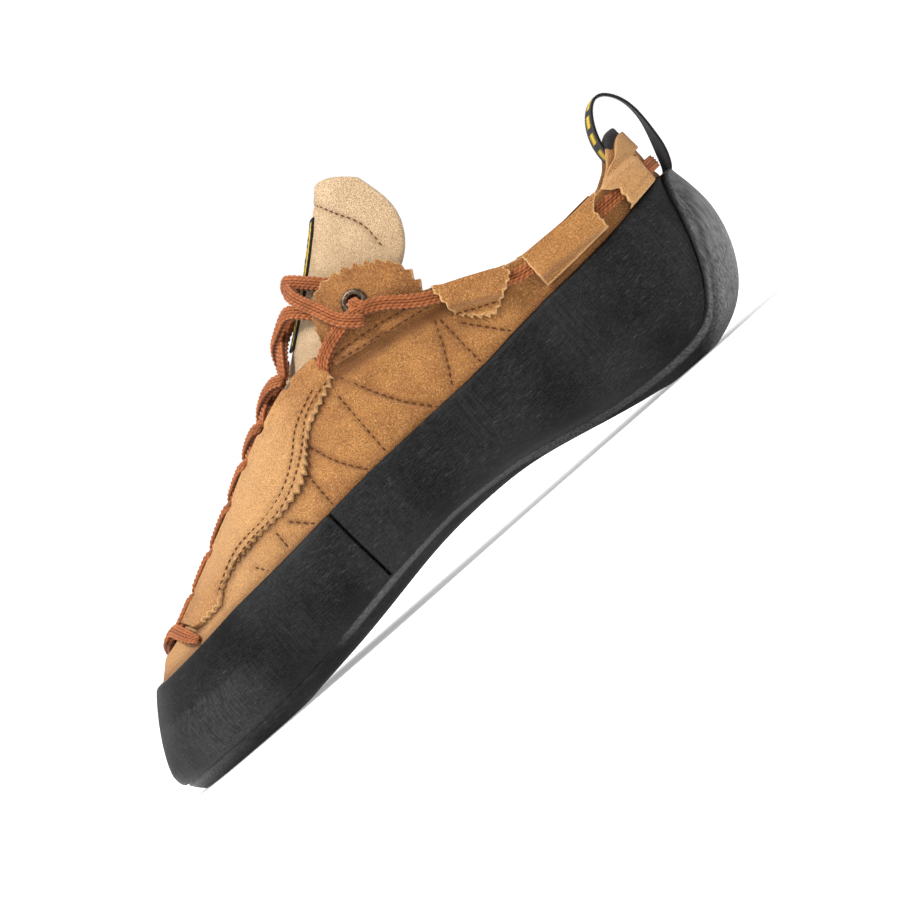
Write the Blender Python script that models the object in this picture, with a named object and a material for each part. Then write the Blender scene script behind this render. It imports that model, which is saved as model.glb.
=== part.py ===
"""Climbing shoe for the left foot, built over one last, in metres.

The toe points to -X, the heel to +X, the lateral side to -Y and the medial side to +Y.
Every piece is a patch of the last, offset by its own wall, or a band that follows the last.
"""
import math

import bmesh
import bpy
import numpy as np
from mathutils import Vector

# Driving dimensions of the last
LAST_LENGTH = 0.2355
LAST_WIDTH = 0.079
RAND_HEIGHT = 0.047
COLLAR_BAND = 0.013
COLLAR_HEIGHT = RAND_HEIGHT + COLLAR_BAND
INSTEP_HEIGHT = 0.1185
ARCH_RISE = 0.011

# Walls
UPPER_WALL = 0.0018
RAND_WALL = 0.0017
SOLE_WALL = 0.0043
HEEL_STRIP_WALL = 0.0036
INSOLE_WALL = 0.0020
TONGUE_WALL = 0.0026
OVERLAY_WALL = 0.0013
LABEL_WALL = 0.0008
WEB_WALL = 0.0010
GAP = 0.0003

# Small sizes
LASTING_MARGIN = 0.016
INSOLE_MARGIN = 0.0085
OVERLAY_GAP = 0.0006
RUBBER_GAP = 0.0005
LACE_WIDTH = 0.0048
LACE_HEIGHT = 0.0032
WEB_WIDTH = 0.010
EYELET_HOLE = 0.0044
EYELET_WALL = 0.0006
EYELET_FLANGE = 0.0086
EYELET_RIM = 0.0010
TOE_AXIS = 0.095 * LAST_LENGTH
HEEL_AXIS = 0.870 * LAST_LENGTH
AXIS_BLEND = 0.034 * LAST_LENGTH

# Mesh fineness
SIDE_RIBS = 20
TOE_RIBS = 8
HEEL_RIBS = 16
WALL_ROWS = 6

# The last. Columns: along (of LAST_LENGTH), lateral and medial (half widths, of LAST_WIDTH),
# rise (sole above the floor, of ARCH_RISE), waist (widest height, of RAND_HEIGHT),
# ridge (top, of INSTEP_HEIGHT), spine (ridge to the medial side, of LAST_WIDTH),
# low and high (powers of the lower and upper quarter curves)
LAST = (
    (0.000, -0.120, 0.120, -0.03, 0.20, 0.338, 0.085, 4.2, 1.27),
    (0.015, 0.060, 0.255, -0.03, 0.22, 0.338, 0.085, 4.1, 1.32),
    (0.035, 0.165, 0.332, -0.03, 0.24, 0.338, 0.085, 3.9, 1.44),
    (0.060, 0.248, 0.378, -0.03, 0.26, 0.338, 0.085, 3.6, 1.60),
    (0.095, 0.325, 0.413, -0.03, 0.285, 0.338, 0.085, 3.4, 1.75),
    (0.160, 0.420, 0.448, -0.02, 0.33, 0.385, 0.085, 3.2, 2.00),
    (0.240, 0.490, 0.466, 0.13, 0.37, 0.465, 0.080, 3.1, 2.10),
    (0.310, 0.520, 0.455, 0.33, 0.41, 0.540, 0.065, 3.0, 2.10),
    (0.380, 0.495, 0.405, 0.59, 0.47, 0.620, 0.045, 2.9, 1.95),
    (0.460, 0.435, 0.335, 0.87, 0.55, 0.718, 0.025, 2.8, 1.90),
    (0.540, 0.385, 0.288, 0.98, 0.595, 0.842, 0.010, 2.6, 1.85),
    (0.620, 0.357, 0.280, 0.92, 0.60, 0.985, 0.000, 2.6, 1.80),
    (0.700, 0.352, 0.308, 0.60, 0.61, 1.150, 0.000, 2.6, 1.80),
    (0.790, 0.362, 0.345, 0.18, 0.64, 1.285, 0.000, 2.6, 1.75),
    (0.870, 0.358, 0.355, -0.03, 0.69, 1.325, 0.000, 2.6, 1.75),
    (0.925, 0.325, 0.325, -0.03, 0.73, 1.333, 0.000, 2.6, 1.80),
    (0.965, 0.252, 0.252, -0.03, 0.765, 1.333, 0.000, 2.5, 1.85),
    (0.990, 0.145, 0.145, -0.03, 0.795, 1.333, 0.000, 2.45, 1.90),
    (1.000, 0.000, 0.000, -0.03, 0.81, 1.333, 0.000, 2.45, 1.90),
)

# Side lines. Columns: along (of LAST_LENGTH), height (of the size named in the line)
SOLE_LINE = (
    (0.000, 0.096), (0.076, 0.102), (0.140, 0.113), (0.204, 0.145), (0.246, 0.166), (0.310, 0.213),
    (0.352, 0.249), (0.391, 0.277), (0.459, 0.309), (0.501, 0.326), (0.544, 0.319), (0.607, 0.294),
    (0.671, 0.230), (0.713, 0.181), (0.756, 0.145), (0.798, 0.123), (0.841, 0.119), (0.883, 0.132),
    (0.909, 0.170), (0.930, 0.255), (0.951, 0.404), (0.966, 0.574), (0.977, 0.723), (0.985, 0.894),
    (0.990, 1.000), (1.000, 1.090),
)
HEEL_BASE = 0.165
RAND_LINE = (
    (0.000, 0.734), (0.064, 0.737), (0.140, 0.770), (0.204, 0.809), (0.289, 0.834), (0.382, 0.872),
    (0.459, 0.900), (0.544, 0.909), (0.628, 0.919), (0.671, 0.932), (0.713, 0.957), (0.777, 0.985),
    (0.841, 1.000), (0.892, 1.021), (0.926, 1.043), (0.968, 1.074), (1.000, 1.106),
)
EYESTAY_LINE = (
    (0.119, 0.321), (0.195, 0.338), (0.212, 0.371), (0.246, 0.397), (0.289, 0.409), (0.331, 0.414),
    (0.374, 0.430), (0.395, 0.456), (0.416, 0.506), (0.437, 0.540), (0.467, 0.565), (0.505, 0.591),
)
FLAP_TOP_LINE = (
    (0.512, 0.645), (0.518, 0.675), (0.527, 0.734), (0.548, 0.781), (0.573, 0.802), (0.607, 0.797),
    (0.628, 0.776), (0.650, 0.751), (0.662, 0.717), (0.671, 0.675),
)
FLAP_LOW_LINE = ((0.512, 0.612), (0.658, 0.574), (0.671, 0.582))
COLLAR_LINE = (
    (0.450, 1.292), (0.493, 1.317), (0.522, 1.292), (0.586, 1.250), (0.650, 1.217), (0.671, 1.192),
    (0.713, 1.125), (0.764, 1.037), (0.798, 1.005), (0.862, 1.000), (0.926, 1.008), (0.951, 1.067),
    (0.968, 1.150), (0.980, 1.200), (0.990, 1.210), (1.000, 1.200),
)
TUNNEL_FRONT_LINE = ((0.667, 1.033), (0.692, 0.950), (0.713, 0.892), (0.747, 0.933), (0.769, 0.983))
TUNNEL_REAR_LINE = ((0.786, 0.808), (0.841, 0.817), (0.900, 0.833))
HEEL_LACE_LINE = (
    (0.640, 1.190), (0.667, 1.142), (0.692, 1.100), (0.713, 1.058), (0.756, 0.967), (0.777, 0.942),
    (0.841, 0.933), (0.904, 0.925), (0.947, 0.925), (1.000, 0.930),
)
SEAM_LINE = ((0.386, 0.28), (0.389, 0.43), (0.384, 0.64), (0.378, 0.87))

# Throat half width from the spine. Columns: along (of LAST_LENGTH), reach (of LAST_WIDTH)
THROAT = (
    (0.000, 0.038), (0.095, 0.038), (0.119, 0.058), (0.161, 0.082), (0.246, 0.110), (0.374, 0.134),
    (0.416, 0.155), (0.459, 0.196), (0.493, 0.228),
)
# Tongue. Columns: along (middle), edge_along (of LAST_LENGTH), edge_height (of INSTEP_HEIGHT)
TONGUE = (
    (0.135, 0.140, 0.350), (0.190, 0.198, 0.395), (0.246, 0.260, 0.440), (0.310, 0.330, 0.500),
    (0.374, 0.405, 0.560), (0.420, 0.475, 0.610), (0.459, 0.545, 0.645), (0.500, 0.613, 0.675),
    (0.540, 0.667, 0.715), (0.575, 0.696, 0.780), (0.608, 0.704, 0.860), (0.640, 0.692, 0.960),
)
# Lace notches of the eyestays (of LAST_LENGTH)
NOTCHES = (0.123, 0.174, 0.229, 0.289, 0.340, 0.386, 0.449)
TOP_NOTCH = 0.508
THROAT_END = 0.450
THROAT_BLEND = 0.060
EYESTAY_FRONT = 0.134
EYESTAY_BACK = 0.500

LATERAL = -1
MEDIAL = 1
SAMPLE = 1e-4
SNAP = 0.02


def curve_through(places, values, closed=False):
    """Return a smooth curve (continuous curvature) through values at places."""
    t = np.array(places, dtype=float)
    v = np.array(values, dtype=float)
    if v.ndim == 1:
        v = v[:, None]
    steps = np.diff(t)
    count = len(t) - 1 if closed else len(t)
    matrix = np.zeros((count, count))
    right = np.zeros((count, v.shape[1]))
    slopes = np.diff(v, axis=0) / steps[:, None]
    for i in range(count):
        if not closed and i in (0, count - 1):
            matrix[i, i] = 1.0
            continue
        before, after = (i - 1) % len(steps), i % len(steps)
        matrix[i, (i - 1) % count] += steps[before]
        matrix[i, i] += 2 * (steps[before] + steps[after])
        matrix[i, (i + 1) % count] += steps[after]
        right[i] = 6 * (slopes[after] - slopes[before])
    bends = np.linalg.solve(matrix, right)
    if closed:
        bends = np.vstack([bends, bends[:1]])
    start, end = t[0], t[-1]

    def at(place):
        if closed:
            place = start + (place - start) % (end - start)
        place = min(max(place, start), end)
        i = min(int(np.searchsorted(t, place, side="right")) - 1, len(steps) - 1)
        h = steps[i]
        a, b = (t[i + 1] - place) / h, (place - t[i]) / h
        value = a * v[i] + b * v[i + 1]
        value = value + ((a**3 - a) * bends[i] + (b**3 - b) * bends[i + 1]) * h * h / 6
        return value if len(value) > 1 else float(value[0])

    return at


def straight_line(rows, height):
    """Return the line through rows of (along, share of height), as height at x."""
    xs = [row[0] * LAST_LENGTH for row in rows]
    zs = [row[1] * height for row in rows]
    return lambda x: float(np.interp(x, xs, zs))


def last_column(index, size):
    """Return one column of the last's table as a smooth function of x."""
    return curve_through([row[0] * LAST_LENGTH for row in LAST], [row[index] * size for row in LAST])


rise_at = last_column(3, ARCH_RISE)
waist_at = last_column(4, RAND_HEIGHT)
ridge_at = last_column(5, INSTEP_HEIGHT)
spine_at = last_column(6, LAST_WIDTH)
low_power_at = last_column(7, 1.0)
high_power_at = last_column(8, 1.0)
sole_line = straight_line(SOLE_LINE, RAND_HEIGHT)


def base_line(x):
    """Return the sole line without its climb behind the heel."""
    height = sole_line(x)
    return min(height, HEEL_BASE * RAND_HEIGHT) if x > HEEL_AXIS else height


rand_line = straight_line(RAND_LINE, RAND_HEIGHT)
eyestay_line = straight_line(EYESTAY_LINE, INSTEP_HEIGHT)
flap_top_line = straight_line(FLAP_TOP_LINE, INSTEP_HEIGHT)
flap_low_line = straight_line(FLAP_LOW_LINE, INSTEP_HEIGHT)
collar_line = straight_line(COLLAR_LINE, COLLAR_HEIGHT)
tunnel_front_line = straight_line(TUNNEL_FRONT_LINE, COLLAR_HEIGHT)
tunnel_rear_line = straight_line(TUNNEL_REAR_LINE, COLLAR_HEIGHT)
heel_lace_line = straight_line(HEEL_LACE_LINE, COLLAR_HEIGHT)
throat_at = straight_line(THROAT, LAST_WIDTH)


def outline_curve():
    """Return the last's plan outline, from the heel by the lateral side, toe and medial side."""
    points = [(row[0] * LAST_LENGTH, -row[1] * LAST_WIDTH) for row in reversed(LAST)]
    points += [(row[0] * LAST_LENGTH, row[2] * LAST_WIDTH) for row in LAST[1:]]
    # The tip row is one point, on the big toe's side
    lengths = [0.0]
    for first, second in zip(points, points[1:]):
        lengths.append(lengths[-1] + math.dist(first, second))
    toe = lengths[len(LAST) - 1]
    return curve_through(lengths, points, closed=True), lengths[-1], toe


outline, OUTLINE_LENGTH, TOE_TIP = outline_curve()


def place_at(side, x):
    """Return the place on the outline of one side where it passes x."""
    low, high = (0.0, TOE_TIP) if side == LATERAL else (OUTLINE_LENGTH, TOE_TIP)
    for _ in range(50):
        middle = (low + high) / 2
        if outline(middle)[0] > x:
            low = middle
        else:
            high = middle
    return (low + high) / 2


def axis_at(x):
    """Return the spine's x for an outline point at x: it stops softly at the toe and the heel."""
    toe_start = TOE_AXIS - AXIS_BLEND
    heel_end = HEEL_AXIS + AXIS_BLEND
    if x < toe_start:
        return TOE_AXIS
    if x < TOE_AXIS + AXIS_BLEND:
        return TOE_AXIS + (x - toe_start) ** 2 / (4 * AXIS_BLEND)
    if x > heel_end:
        return HEEL_AXIS
    if x > HEEL_AXIS - AXIS_BLEND:
        return HEEL_AXIS - (heel_end - x) ** 2 / (4 * AXIS_BLEND)
    return x


RIBS = {}
LEVELS = {}
SOLE_TURNS = {}
RAND_TURNS = {}


class Rib:
    """One section of the last, from the bottom middle over the outline to the ridge."""

    def __init__(self, place):
        x, y = outline(place)
        axis = axis_at(x)
        self.edge = Vector((x, y))
        self.axis = Vector((axis, spine_at(axis)))
        self.reach = (self.edge - self.axis).length
        self.waist = waist_at(x)
        self.low = rise_at(axis) + SOLE_WALL + RUBBER_GAP
        self.high = ridge_at(axis)
        self.low_power = low_power_at(x)
        self.high_power = high_power_at(x)

    def shares(self, turn):
        """Return how far out and how far up or down a turn of -1 to 1 lies."""
        power = self.high_power if turn > 0 else self.low_power
        angle = abs(turn) * math.pi / 2
        out = max(math.cos(angle), 0.0) ** (2 / power)
        return out, math.sin(angle) ** (2 / power)

    def point(self, turn):
        """Return the last's point at a turn: -1 bottom middle, 0 widest, 1 ridge."""
        out, up = self.shares(turn)
        height = (self.high if turn > 0 else self.low) - self.waist
        plan = self.axis.lerp(self.edge, out)
        return Vector((plan.x, plan.y, self.waist + height * up))

    def turn_at_reach(self, reach, above):
        """Return the turn whose point lies reach from the spine in plan."""
        share = min(max(reach / self.reach, 0.0), 1.0)
        power = self.high_power if above else self.low_power
        turn = math.acos(share ** (power / 2)) / (math.pi / 2)
        return turn if above else -turn

    def turn_on(self, line):
        """Return the turn where the rib meets a side line, height as a function of x."""
        low, high = -0.995, 0.995
        for _ in range(40):
            middle = (low + high) / 2
            point = self.point(middle)
            if point.z < line(point.x):
                low = middle
            else:
                high = middle
        return (low + high) / 2


def rib_at(place):
    """Return the rib at a place on the outline."""
    key = round(place % OUTLINE_LENGTH, 7)
    if key not in RIBS:
        RIBS[key] = Rib(key)
    return RIBS[key]


def spine_normal(rib, above):
    """Return the last's normal on the spine, above or below."""
    x = rib.axis.x
    level = ridge_at if above else rise_at
    slope = (level(x + SAMPLE) - level(x - SAMPLE)) / (2 * SAMPLE)
    return Vector((-slope, 0, 1)).normalized() if above else Vector((slope, 0, -1)).normalized()


def normal_at(place, turn):
    """Return the last's outward normal."""
    held = min(max(turn, -0.94), 0.94)
    along = rib_at(place + SAMPLE).point(held) - rib_at(place - SAMPLE).point(held)
    rib = rib_at(place)
    up = rib.point(held + 0.004) - rib.point(held - 0.004)
    normal = up.cross(along).normalized()
    if normal.dot(rib.point(held) - Vector((*rib.axis, rib.waist))) < 0:
        normal.negate()
    share = (abs(turn) - 0.94) / 0.06
    if share > 0:
        normal = normal.lerp(spine_normal(rib, turn > 0), share).normalized()
    return normal


def skin(place, turn, offset=0.0):
    """Return the point of the last at a place and turn, moved out by offset."""
    point = rib_at(place).point(turn)
    return point + normal_at(place, turn) * offset if offset else point


def across(x, reach):
    """Return place and turn of the last over the spine at x, reach to the medial side."""
    side = MEDIAL if reach > 0 else LATERAL
    place = place_at(side, x)
    return place, rib_at(place).turn_at_reach(abs(reach), True)


def at_height(side, x, height):
    """Return place and turn on one side at x and height."""
    place = place_at(side, x)
    return place, rib_at(place).turn_on(lambda _x: height)


def finish_mesh(name, mesh_build, material):
    """Clean a bmesh, make it one object and give it its material."""
    bmesh.ops.remove_doubles(mesh_build, verts=mesh_build.verts[:], dist=2e-6)
    bmesh.ops.dissolve_degenerate(mesh_build, edges=mesh_build.edges[:], dist=2e-6)
    bmesh.ops.recalc_face_normals(mesh_build, faces=mesh_build.faces[:])
    if mesh_build.calc_volume(signed=True) < 0:
        bmesh.ops.reverse_faces(mesh_build, faces=mesh_build.faces[:])
    mesh = bpy.data.meshes.new(name)
    mesh_build.to_mesh(mesh)
    mesh_build.free()
    mesh.shade_smooth()
    mesh.set_sharp_from_angle(angle=math.radians(40))
    piece = bpy.data.objects.new(name, mesh)
    bpy.context.scene.collection.objects.link(piece)
    mesh.materials.append(material)
    return piece


def add_face(build, corners):
    """Add a face from corners that may repeat, and skip it when nothing is left."""
    kept = []
    for corner in corners:
        if corner not in kept:
            kept.append(corner)
    if len(kept) > 2 and build.faces.get(kept) is None:
        build.faces.new(kept)


def shell(name, grid, inner, outer, material, closed=False, welded=False):
    """Make a walled patch from a grid of (place, turn): rows of columns.

    inner and outer give the offset at a place and a turn. closed joins the last column to the
    first. welded says that the first row runs along the spine, where both sides meet. Every
    layer is split along the same diagonals, so pieces that share a grid nest in each other.
    """
    build = bmesh.new()
    layers = []
    for offset in (outer, inner):
        layer = []
        for column in grid:
            layer.append([build.verts.new(skin(p, t, offset(p, t))) for p, t in column])
        layers.append(layer)
    outside, inside = layers
    columns = len(grid)
    rows = len(grid[0])
    spans = columns if closed else columns - 1
    for i in range(spans):
        k = (i + 1) % columns
        for j in range(rows - 1):
            for layer in layers:
                add_face(build, (layer[i][j], layer[k][j], layer[k][j + 1]))
                add_face(build, (layer[i][j], layer[k][j + 1], layer[i][j + 1]))
        rims = (rows - 1,) if welded else (0, rows - 1)
        for j in rims:
            add_face(build, (outside[i][j], outside[k][j], inside[k][j], inside[i][j]))
    if not closed:
        for i in (0, columns - 1):
            for j in range(rows - 1):
                add_face(build, (outside[i][j], outside[i][j + 1], inside[i][j + 1], inside[i][j]))
    return finish_mesh(name, build, material)


def steady(value):
    """Return an offset that is the same everywhere."""
    return lambda place, turn: value


def columns_between(places, low, high, rows):
    """Return a grid whose columns run from turn low(place) to high(place)."""
    grid = []
    for place in places:
        start, end = low(place), high(place)
        grid.append([(place, start + (end - start) * j / rows) for j in range(rows + 1)])
    return grid


def wall_levels(place):
    """Return the turns that every piece on the last shares, from the bottom to the top edge."""
    if place not in LEVELS:
        rib = rib_at(place)
        margin = rib.turn_at_reach(rib.reach - LASTING_MARGIN, False)
        base, rand, top = base_turn(place), rand_turn(place), upper_turn(place)
        marks = ((-1.0, margin, 2), (margin, base, 2), (base, rand, WALL_ROWS), (rand, top, WALL_ROWS))
        levels = []
        for start, end, rows in marks:
            levels += [start + (end - start) * j / rows for j in range(rows)]
        LEVELS[place] = levels + [top]
    return LEVELS[place]


def levelled(places, low, high, first=0, last=None):
    """Return a grid of the shared levels, held between turn low(place) and high(place)."""
    grid = []
    for place in places:
        start, end = low(place), high(place)
        column = []
        for level in wall_levels(place)[first:last]:
            level = start if level < start + SNAP else level
            level = end if level > end - SNAP else level
            column.append((place, level))
        column[0], column[-1] = (place, start), (place, end)
        grid.append(column)
    return grid


def side_places(side, start, end, count):
    """Return places of one side, evenly in x from start to end."""
    return [place_at(side, start + (end - start) * i / count) for i in range(count + 1)]


def with_marks(values, marks):
    """Return the values with the nearest one moved to each mark."""
    values = list(values)
    for mark in marks:
        nearest = min(range(len(values)), key=lambda i: abs(values[i] - mark))
        values[nearest] = mark
    return values


def ring_places():
    """Return the places of all ribs, round the whole last, in pairs along both sides."""
    toe = TOE_AXIS - AXIS_BLEND
    heel = HEEL_AXIS + AXIS_BLEND
    xs = [toe + (heel - toe) * i / SIDE_RIBS for i in range(SIDE_RIBS + 1)]
    xs = sorted([*with_marks(xs, (EYESTAY_FRONT * LAST_LENGTH,)), EYESTAY_BACK * LAST_LENGTH])
    lateral = [place_at(LATERAL, x) for x in reversed(xs)]
    medial = [place_at(MEDIAL, x) for x in xs]
    step = (medial[0] - lateral[-1]) / TOE_RIBS
    front = [lateral[-1] + step * i for i in range(1, TOE_RIBS)]
    step = (OUTLINE_LENGTH + lateral[0] - medial[-1]) / HEEL_RIBS
    back = [medial[-1] + step * i for i in range(1, HEEL_RIBS)]
    back = with_marks(back, (rand_end(MEDIAL), OUTLINE_LENGTH + rand_end(LATERAL)))
    return lateral + front + medial + back


def side_of(place):
    """Return the side on which a place lies."""
    return LATERAL if place % OUTLINE_LENGTH < TOE_TIP else MEDIAL


def soft_step(value):
    """Return a smooth 0 to 1 step."""
    value = min(max(value, 0.0), 1.0)
    return value * value * (3 - 2 * value)


def turn_outside(place, line):
    """Return the turn where the rubber's outer face meets a side line."""
    low, high = -0.9, 0.9
    for _ in range(24):
        middle = (low + high) / 2
        point = skin(place, middle, RUBBER_GAP + RAND_WALL)
        if point.z < line(point.x):
            low = middle
        else:
            high = middle
    return (low + high) / 2


def sole_turn(place):
    """Return the turn of the outsole's upper edge."""
    if place not in SOLE_TURNS:
        SOLE_TURNS[place] = turn_outside(place, sole_line)
    return SOLE_TURNS[place]


def base_turn(place):
    """Return the turn of the rubber's lower line, without the climb behind the heel."""
    return min(turn_outside(place, base_line), sole_turn(place))


def rand_turn(place):
    """Return the turn of the rand's upper edge."""
    if place not in RAND_TURNS:
        RAND_TURNS[place] = turn_outside(place, rand_line)
    return RAND_TURNS[place]


def turn_step(place, turn, distance):
    """Return the turn that lies a distance along the rib above another."""
    rib = rib_at(place)
    here = rib.point(turn)
    step = 0.002
    share = (rib.point(min(turn + step, 0.999)) - here).length / step
    return turn + distance / max(share, 1e-4)


def throat_turn(place):
    """Return the turn of the throat's edge."""
    rib = rib_at(place)
    return rib.turn_at_reach(throat_at(rib.edge.x), True)


def upper_turn(place):
    """Return the turn of the upper's top edge: the throat in front, the collar behind."""
    rib = rib_at(place)
    share = soft_step((rib.edge.x / LAST_LENGTH - THROAT_END) / THROAT_BLEND)
    return throat_turn(place) * (1 - share) + rib.turn_on(collar_line) * share


def strip_share(place):
    """Return 0 along the sides and 1 behind the heel, where the sole climbs as a strip."""
    x = rib_at(place).edge.x / LAST_LENGTH
    return soft_step((x - 0.90) / 0.07)


def sole_outer(place, turn):
    """Return the outsole's outer offset: full under the foot, flush with the rand at its edge."""
    edge = sole_turn(place)
    depth = soft_step((edge - turn) / min(0.35, 0.8 * (edge + 1)))
    strip = strip_share(place)
    rim = RAND_WALL + (HEEL_STRIP_WALL - RAND_WALL) * strip
    return RUBBER_GAP + rim + (SOLE_WALL - rim) * depth


def sole_inner(place, turn):
    """Return the outsole's inner offset: a little more room under the heel strip."""
    return RUBBER_GAP * (1 + strip_share(place) * soft_step((turn + 1) / 0.3))


def colour_material(name, colour, roughness, metallic=0.0):
    """Make a Principled material."""
    material = bpy.data.materials.new(name)
    material.use_nodes = True
    shader = material.node_tree.nodes["Principled BSDF"]
    shader.inputs["Base Color"].default_value = (*colour, 1.0)
    shader.inputs["Roughness"].default_value = roughness
    shader.inputs["Metallic"].default_value = metallic
    material.diffuse_color = (*colour, 1.0)
    return material


def make_outsole(material):
    """Make the smooth outsole with its toe spring, arch and heel strip."""
    grid = levelled(RING, lambda place: -1.0, sole_turn, 0, 5 + WALL_ROWS)
    piece = shell("outsole", grid, sole_inner, sole_outer, material, closed=True, welded=True)
    # Forefoot and heel are ground flat on one plane
    for vertex in piece.data.vertices:
        if vertex.co.z < SOLE_WALL / 8:
            vertex.co.z = 0.0
    return piece


def rand_grid(places, seams):
    """Return a grid between the sole line and the rand's top, with slanted seams at its ends."""

    def low(place):
        return turn_step(place, sole_turn(place), GAP * (1 + 6 * strip_share(place)))

    grid = levelled(places, low, rand_turn, 4, 5 + WALL_ROWS)
    heights = [row[1] * RAND_HEIGHT for row in SEAM_LINE]
    xs = [row[0] * LAST_LENGTH for row in SEAM_LINE]
    for end, shift in seams:
        column = []
        for place, turn in grid[end]:
            x = float(np.interp(rib_at(place).point(turn).z, heights, xs)) + shift
            column.append((place_at(side_of(place), x), turn))
        grid[end] = column
    return grid


def ring_between(start, end):
    """Return the ring's places between two places, with those two as ends."""
    spare = 0.3 * LAST_LENGTH / SIDE_RIBS
    ring = sorted(place % OUTLINE_LENGTH + turn for place in RING for turn in (0, OUTLINE_LENGTH))
    return [start, *[place for place in ring if start + spare < place < end - spare], end]


def rand_inner(place, turn):
    """Return the rand's inner offset: a little more room round the narrow heel."""
    return RUBBER_GAP * (1 + 0.6 * strip_share(place))


def make_rand(material):
    """Make the toe rand and the two heel rands."""
    seam_x = SEAM_LINE[0][0] * LAST_LENGTH
    lateral, medial = place_at(LATERAL, seam_x), place_at(MEDIAL, seam_x)
    offsets = rand_inner, steady(RUBBER_GAP + RAND_WALL)
    grid = rand_grid(ring_between(lateral, medial), ((0, -GAP), (-1, -GAP)))
    shell("rand_toe", grid, *offsets, material)
    places = ring_between(rand_end(LATERAL), lateral)
    shell("rand_heel_lateral", rand_grid(places, ((-1, 0.0),)), *offsets, material)
    places = ring_between(medial, rand_end(MEDIAL))
    shell("rand_heel_medial", rand_grid(places, ((0, 0.0),)), *offsets, material)


def rand_end(side):
    """Return the place where the heel rand runs out against the strip."""
    near = place_at(side, HEEL_AXIS)
    far = 0.0 if side == LATERAL else OUTLINE_LENGTH
    for _ in range(40):
        middle = (near + far) / 2
        rib = rib_at(middle)
        rise = rib.point(rand_turn(middle)).z - rib.point(sole_turn(middle)).z
        if rise > 8 * GAP:
            near = middle
        else:
            far = middle
    return near


RING = ring_places()


def make_upper(material):
    """Make the suede wall: open at the throat and collar, and underneath inside the margin."""

    def low(place):
        rib = rib_at(place)
        return rib.turn_at_reach(rib.reach - LASTING_MARGIN, False)

    grid = levelled(RING, low, upper_turn, 2)
    return shell("upper", grid, steady(-UPPER_WALL), steady(0.0), material, closed=True)


def make_insole(material):
    """Make the insole board on the lasting margin."""

    def high(place):
        rib = rib_at(place)
        return rib.turn_at_reach(rib.reach - INSOLE_MARGIN, False)

    top = -(UPPER_WALL + 2 * GAP)
    grid = columns_between(RING, lambda place: -1.0, high, 3)
    return shell(
        "insole", grid, steady(top - INSOLE_WALL), steady(top), material, closed=True, welded=True
    )


TONGUE_TOP = -(UPPER_WALL + 3 * GAP)


def tongue_at(row, share):
    """Return place and turn of the tongue at a row of its table and a share across."""
    side = MEDIAL if share > 0 else LATERAL
    x = row[0] + (row[1] - row[0]) * abs(share) ** 1.7
    edge_place = place_at(side, row[1])
    edge = rib_at(edge_place).turn_on(lambda _x: row[2])
    return place_at(side, x), 1 + (edge - 1) * abs(share)


TONGUE_ROWS = 15
LABEL_ROWS = (10, 14)


def tongue_grid(first, last, shares):
    """Return the tongue's grid from its row first to its row last."""
    places = [row[0] for row in TONGUE]
    along = curve_through(places, [row[1] for row in TONGUE])
    height = curve_through(places, [row[2] for row in TONGUE])
    grid = []
    for i in range(first, last + 1):
        middle = places[0] + (places[-1] - places[0]) * i / TONGUE_ROWS
        row = (middle * LAST_LENGTH, along(middle) * LAST_LENGTH, height(middle) * INSTEP_HEIGHT)
        grid.append([tongue_at(row, share) for share in shares])
    return grid


def make_tongue(material):
    """Make the tongue, from under the eyestays up past the collar."""
    grid = tongue_grid(0, TONGUE_ROWS, [j / 5 - 1 for j in range(11)])
    return shell(
        "tongue", grid, steady(TONGUE_TOP - TONGUE_WALL), steady(TONGUE_TOP), material
    )


def make_label(material):
    """Make the plain patch on the tongue's front."""
    grid = tongue_grid(*LABEL_ROWS, (-0.2, 0.0, 0.2))
    low = TONGUE_TOP + GAP
    return shell("tongue_label", grid, steady(low), steady(low + LABEL_WALL), material)


def side_name(name, side):
    """Return a piece's name with its side."""
    return f"{name}_lateral" if side == LATERAL else f"{name}_medial"


def make_eyestay(side, material):
    """Make one eyestay, from the pinked lower line to the folded throat edge."""

    def low(place):
        rib = rib_at(place)
        base = turn_step(place, rand_turn(place), 2 * GAP)
        return max(base, rib.turn_on(eyestay_line))

    front, back = place_at(side, EYESTAY_FRONT * LAST_LENGTH), place_at(side, EYESTAY_BACK * LAST_LENGTH)
    places = ring_between(min(front, back), max(front, back))
    grid = levelled(places, low, upper_turn, 5 + WALL_ROWS)
    # The front end is cut at a slant, behind the first lace bar
    end = -1 if side == LATERAL else 0
    slant = 0.012 * LAST_LENGTH
    bottom, top = grid[end][0][1], grid[end][-1][1]
    for j, (place, turn) in enumerate(grid[end]):
        share = (top - turn) / (top - bottom)
        grid[end][j] = (place_at(side, rib_at(place).edge.x + slant * share), turn)
    return shell(
        side_name("eyestay", side), grid, steady(OVERLAY_GAP),
        steady(OVERLAY_GAP + OVERLAY_WALL), material,
    )


EYELET_ALONG = 0.586
EYELET_HEIGHT = 0.703


def eyelet_frame(side):
    """Return the eyelet's centre on the last and its outward direction."""
    place, turn = at_height(side, EYELET_ALONG * LAST_LENGTH, EYELET_HEIGHT * INSTEP_HEIGHT)
    return skin(place, turn), normal_at(place, turn)


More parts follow.
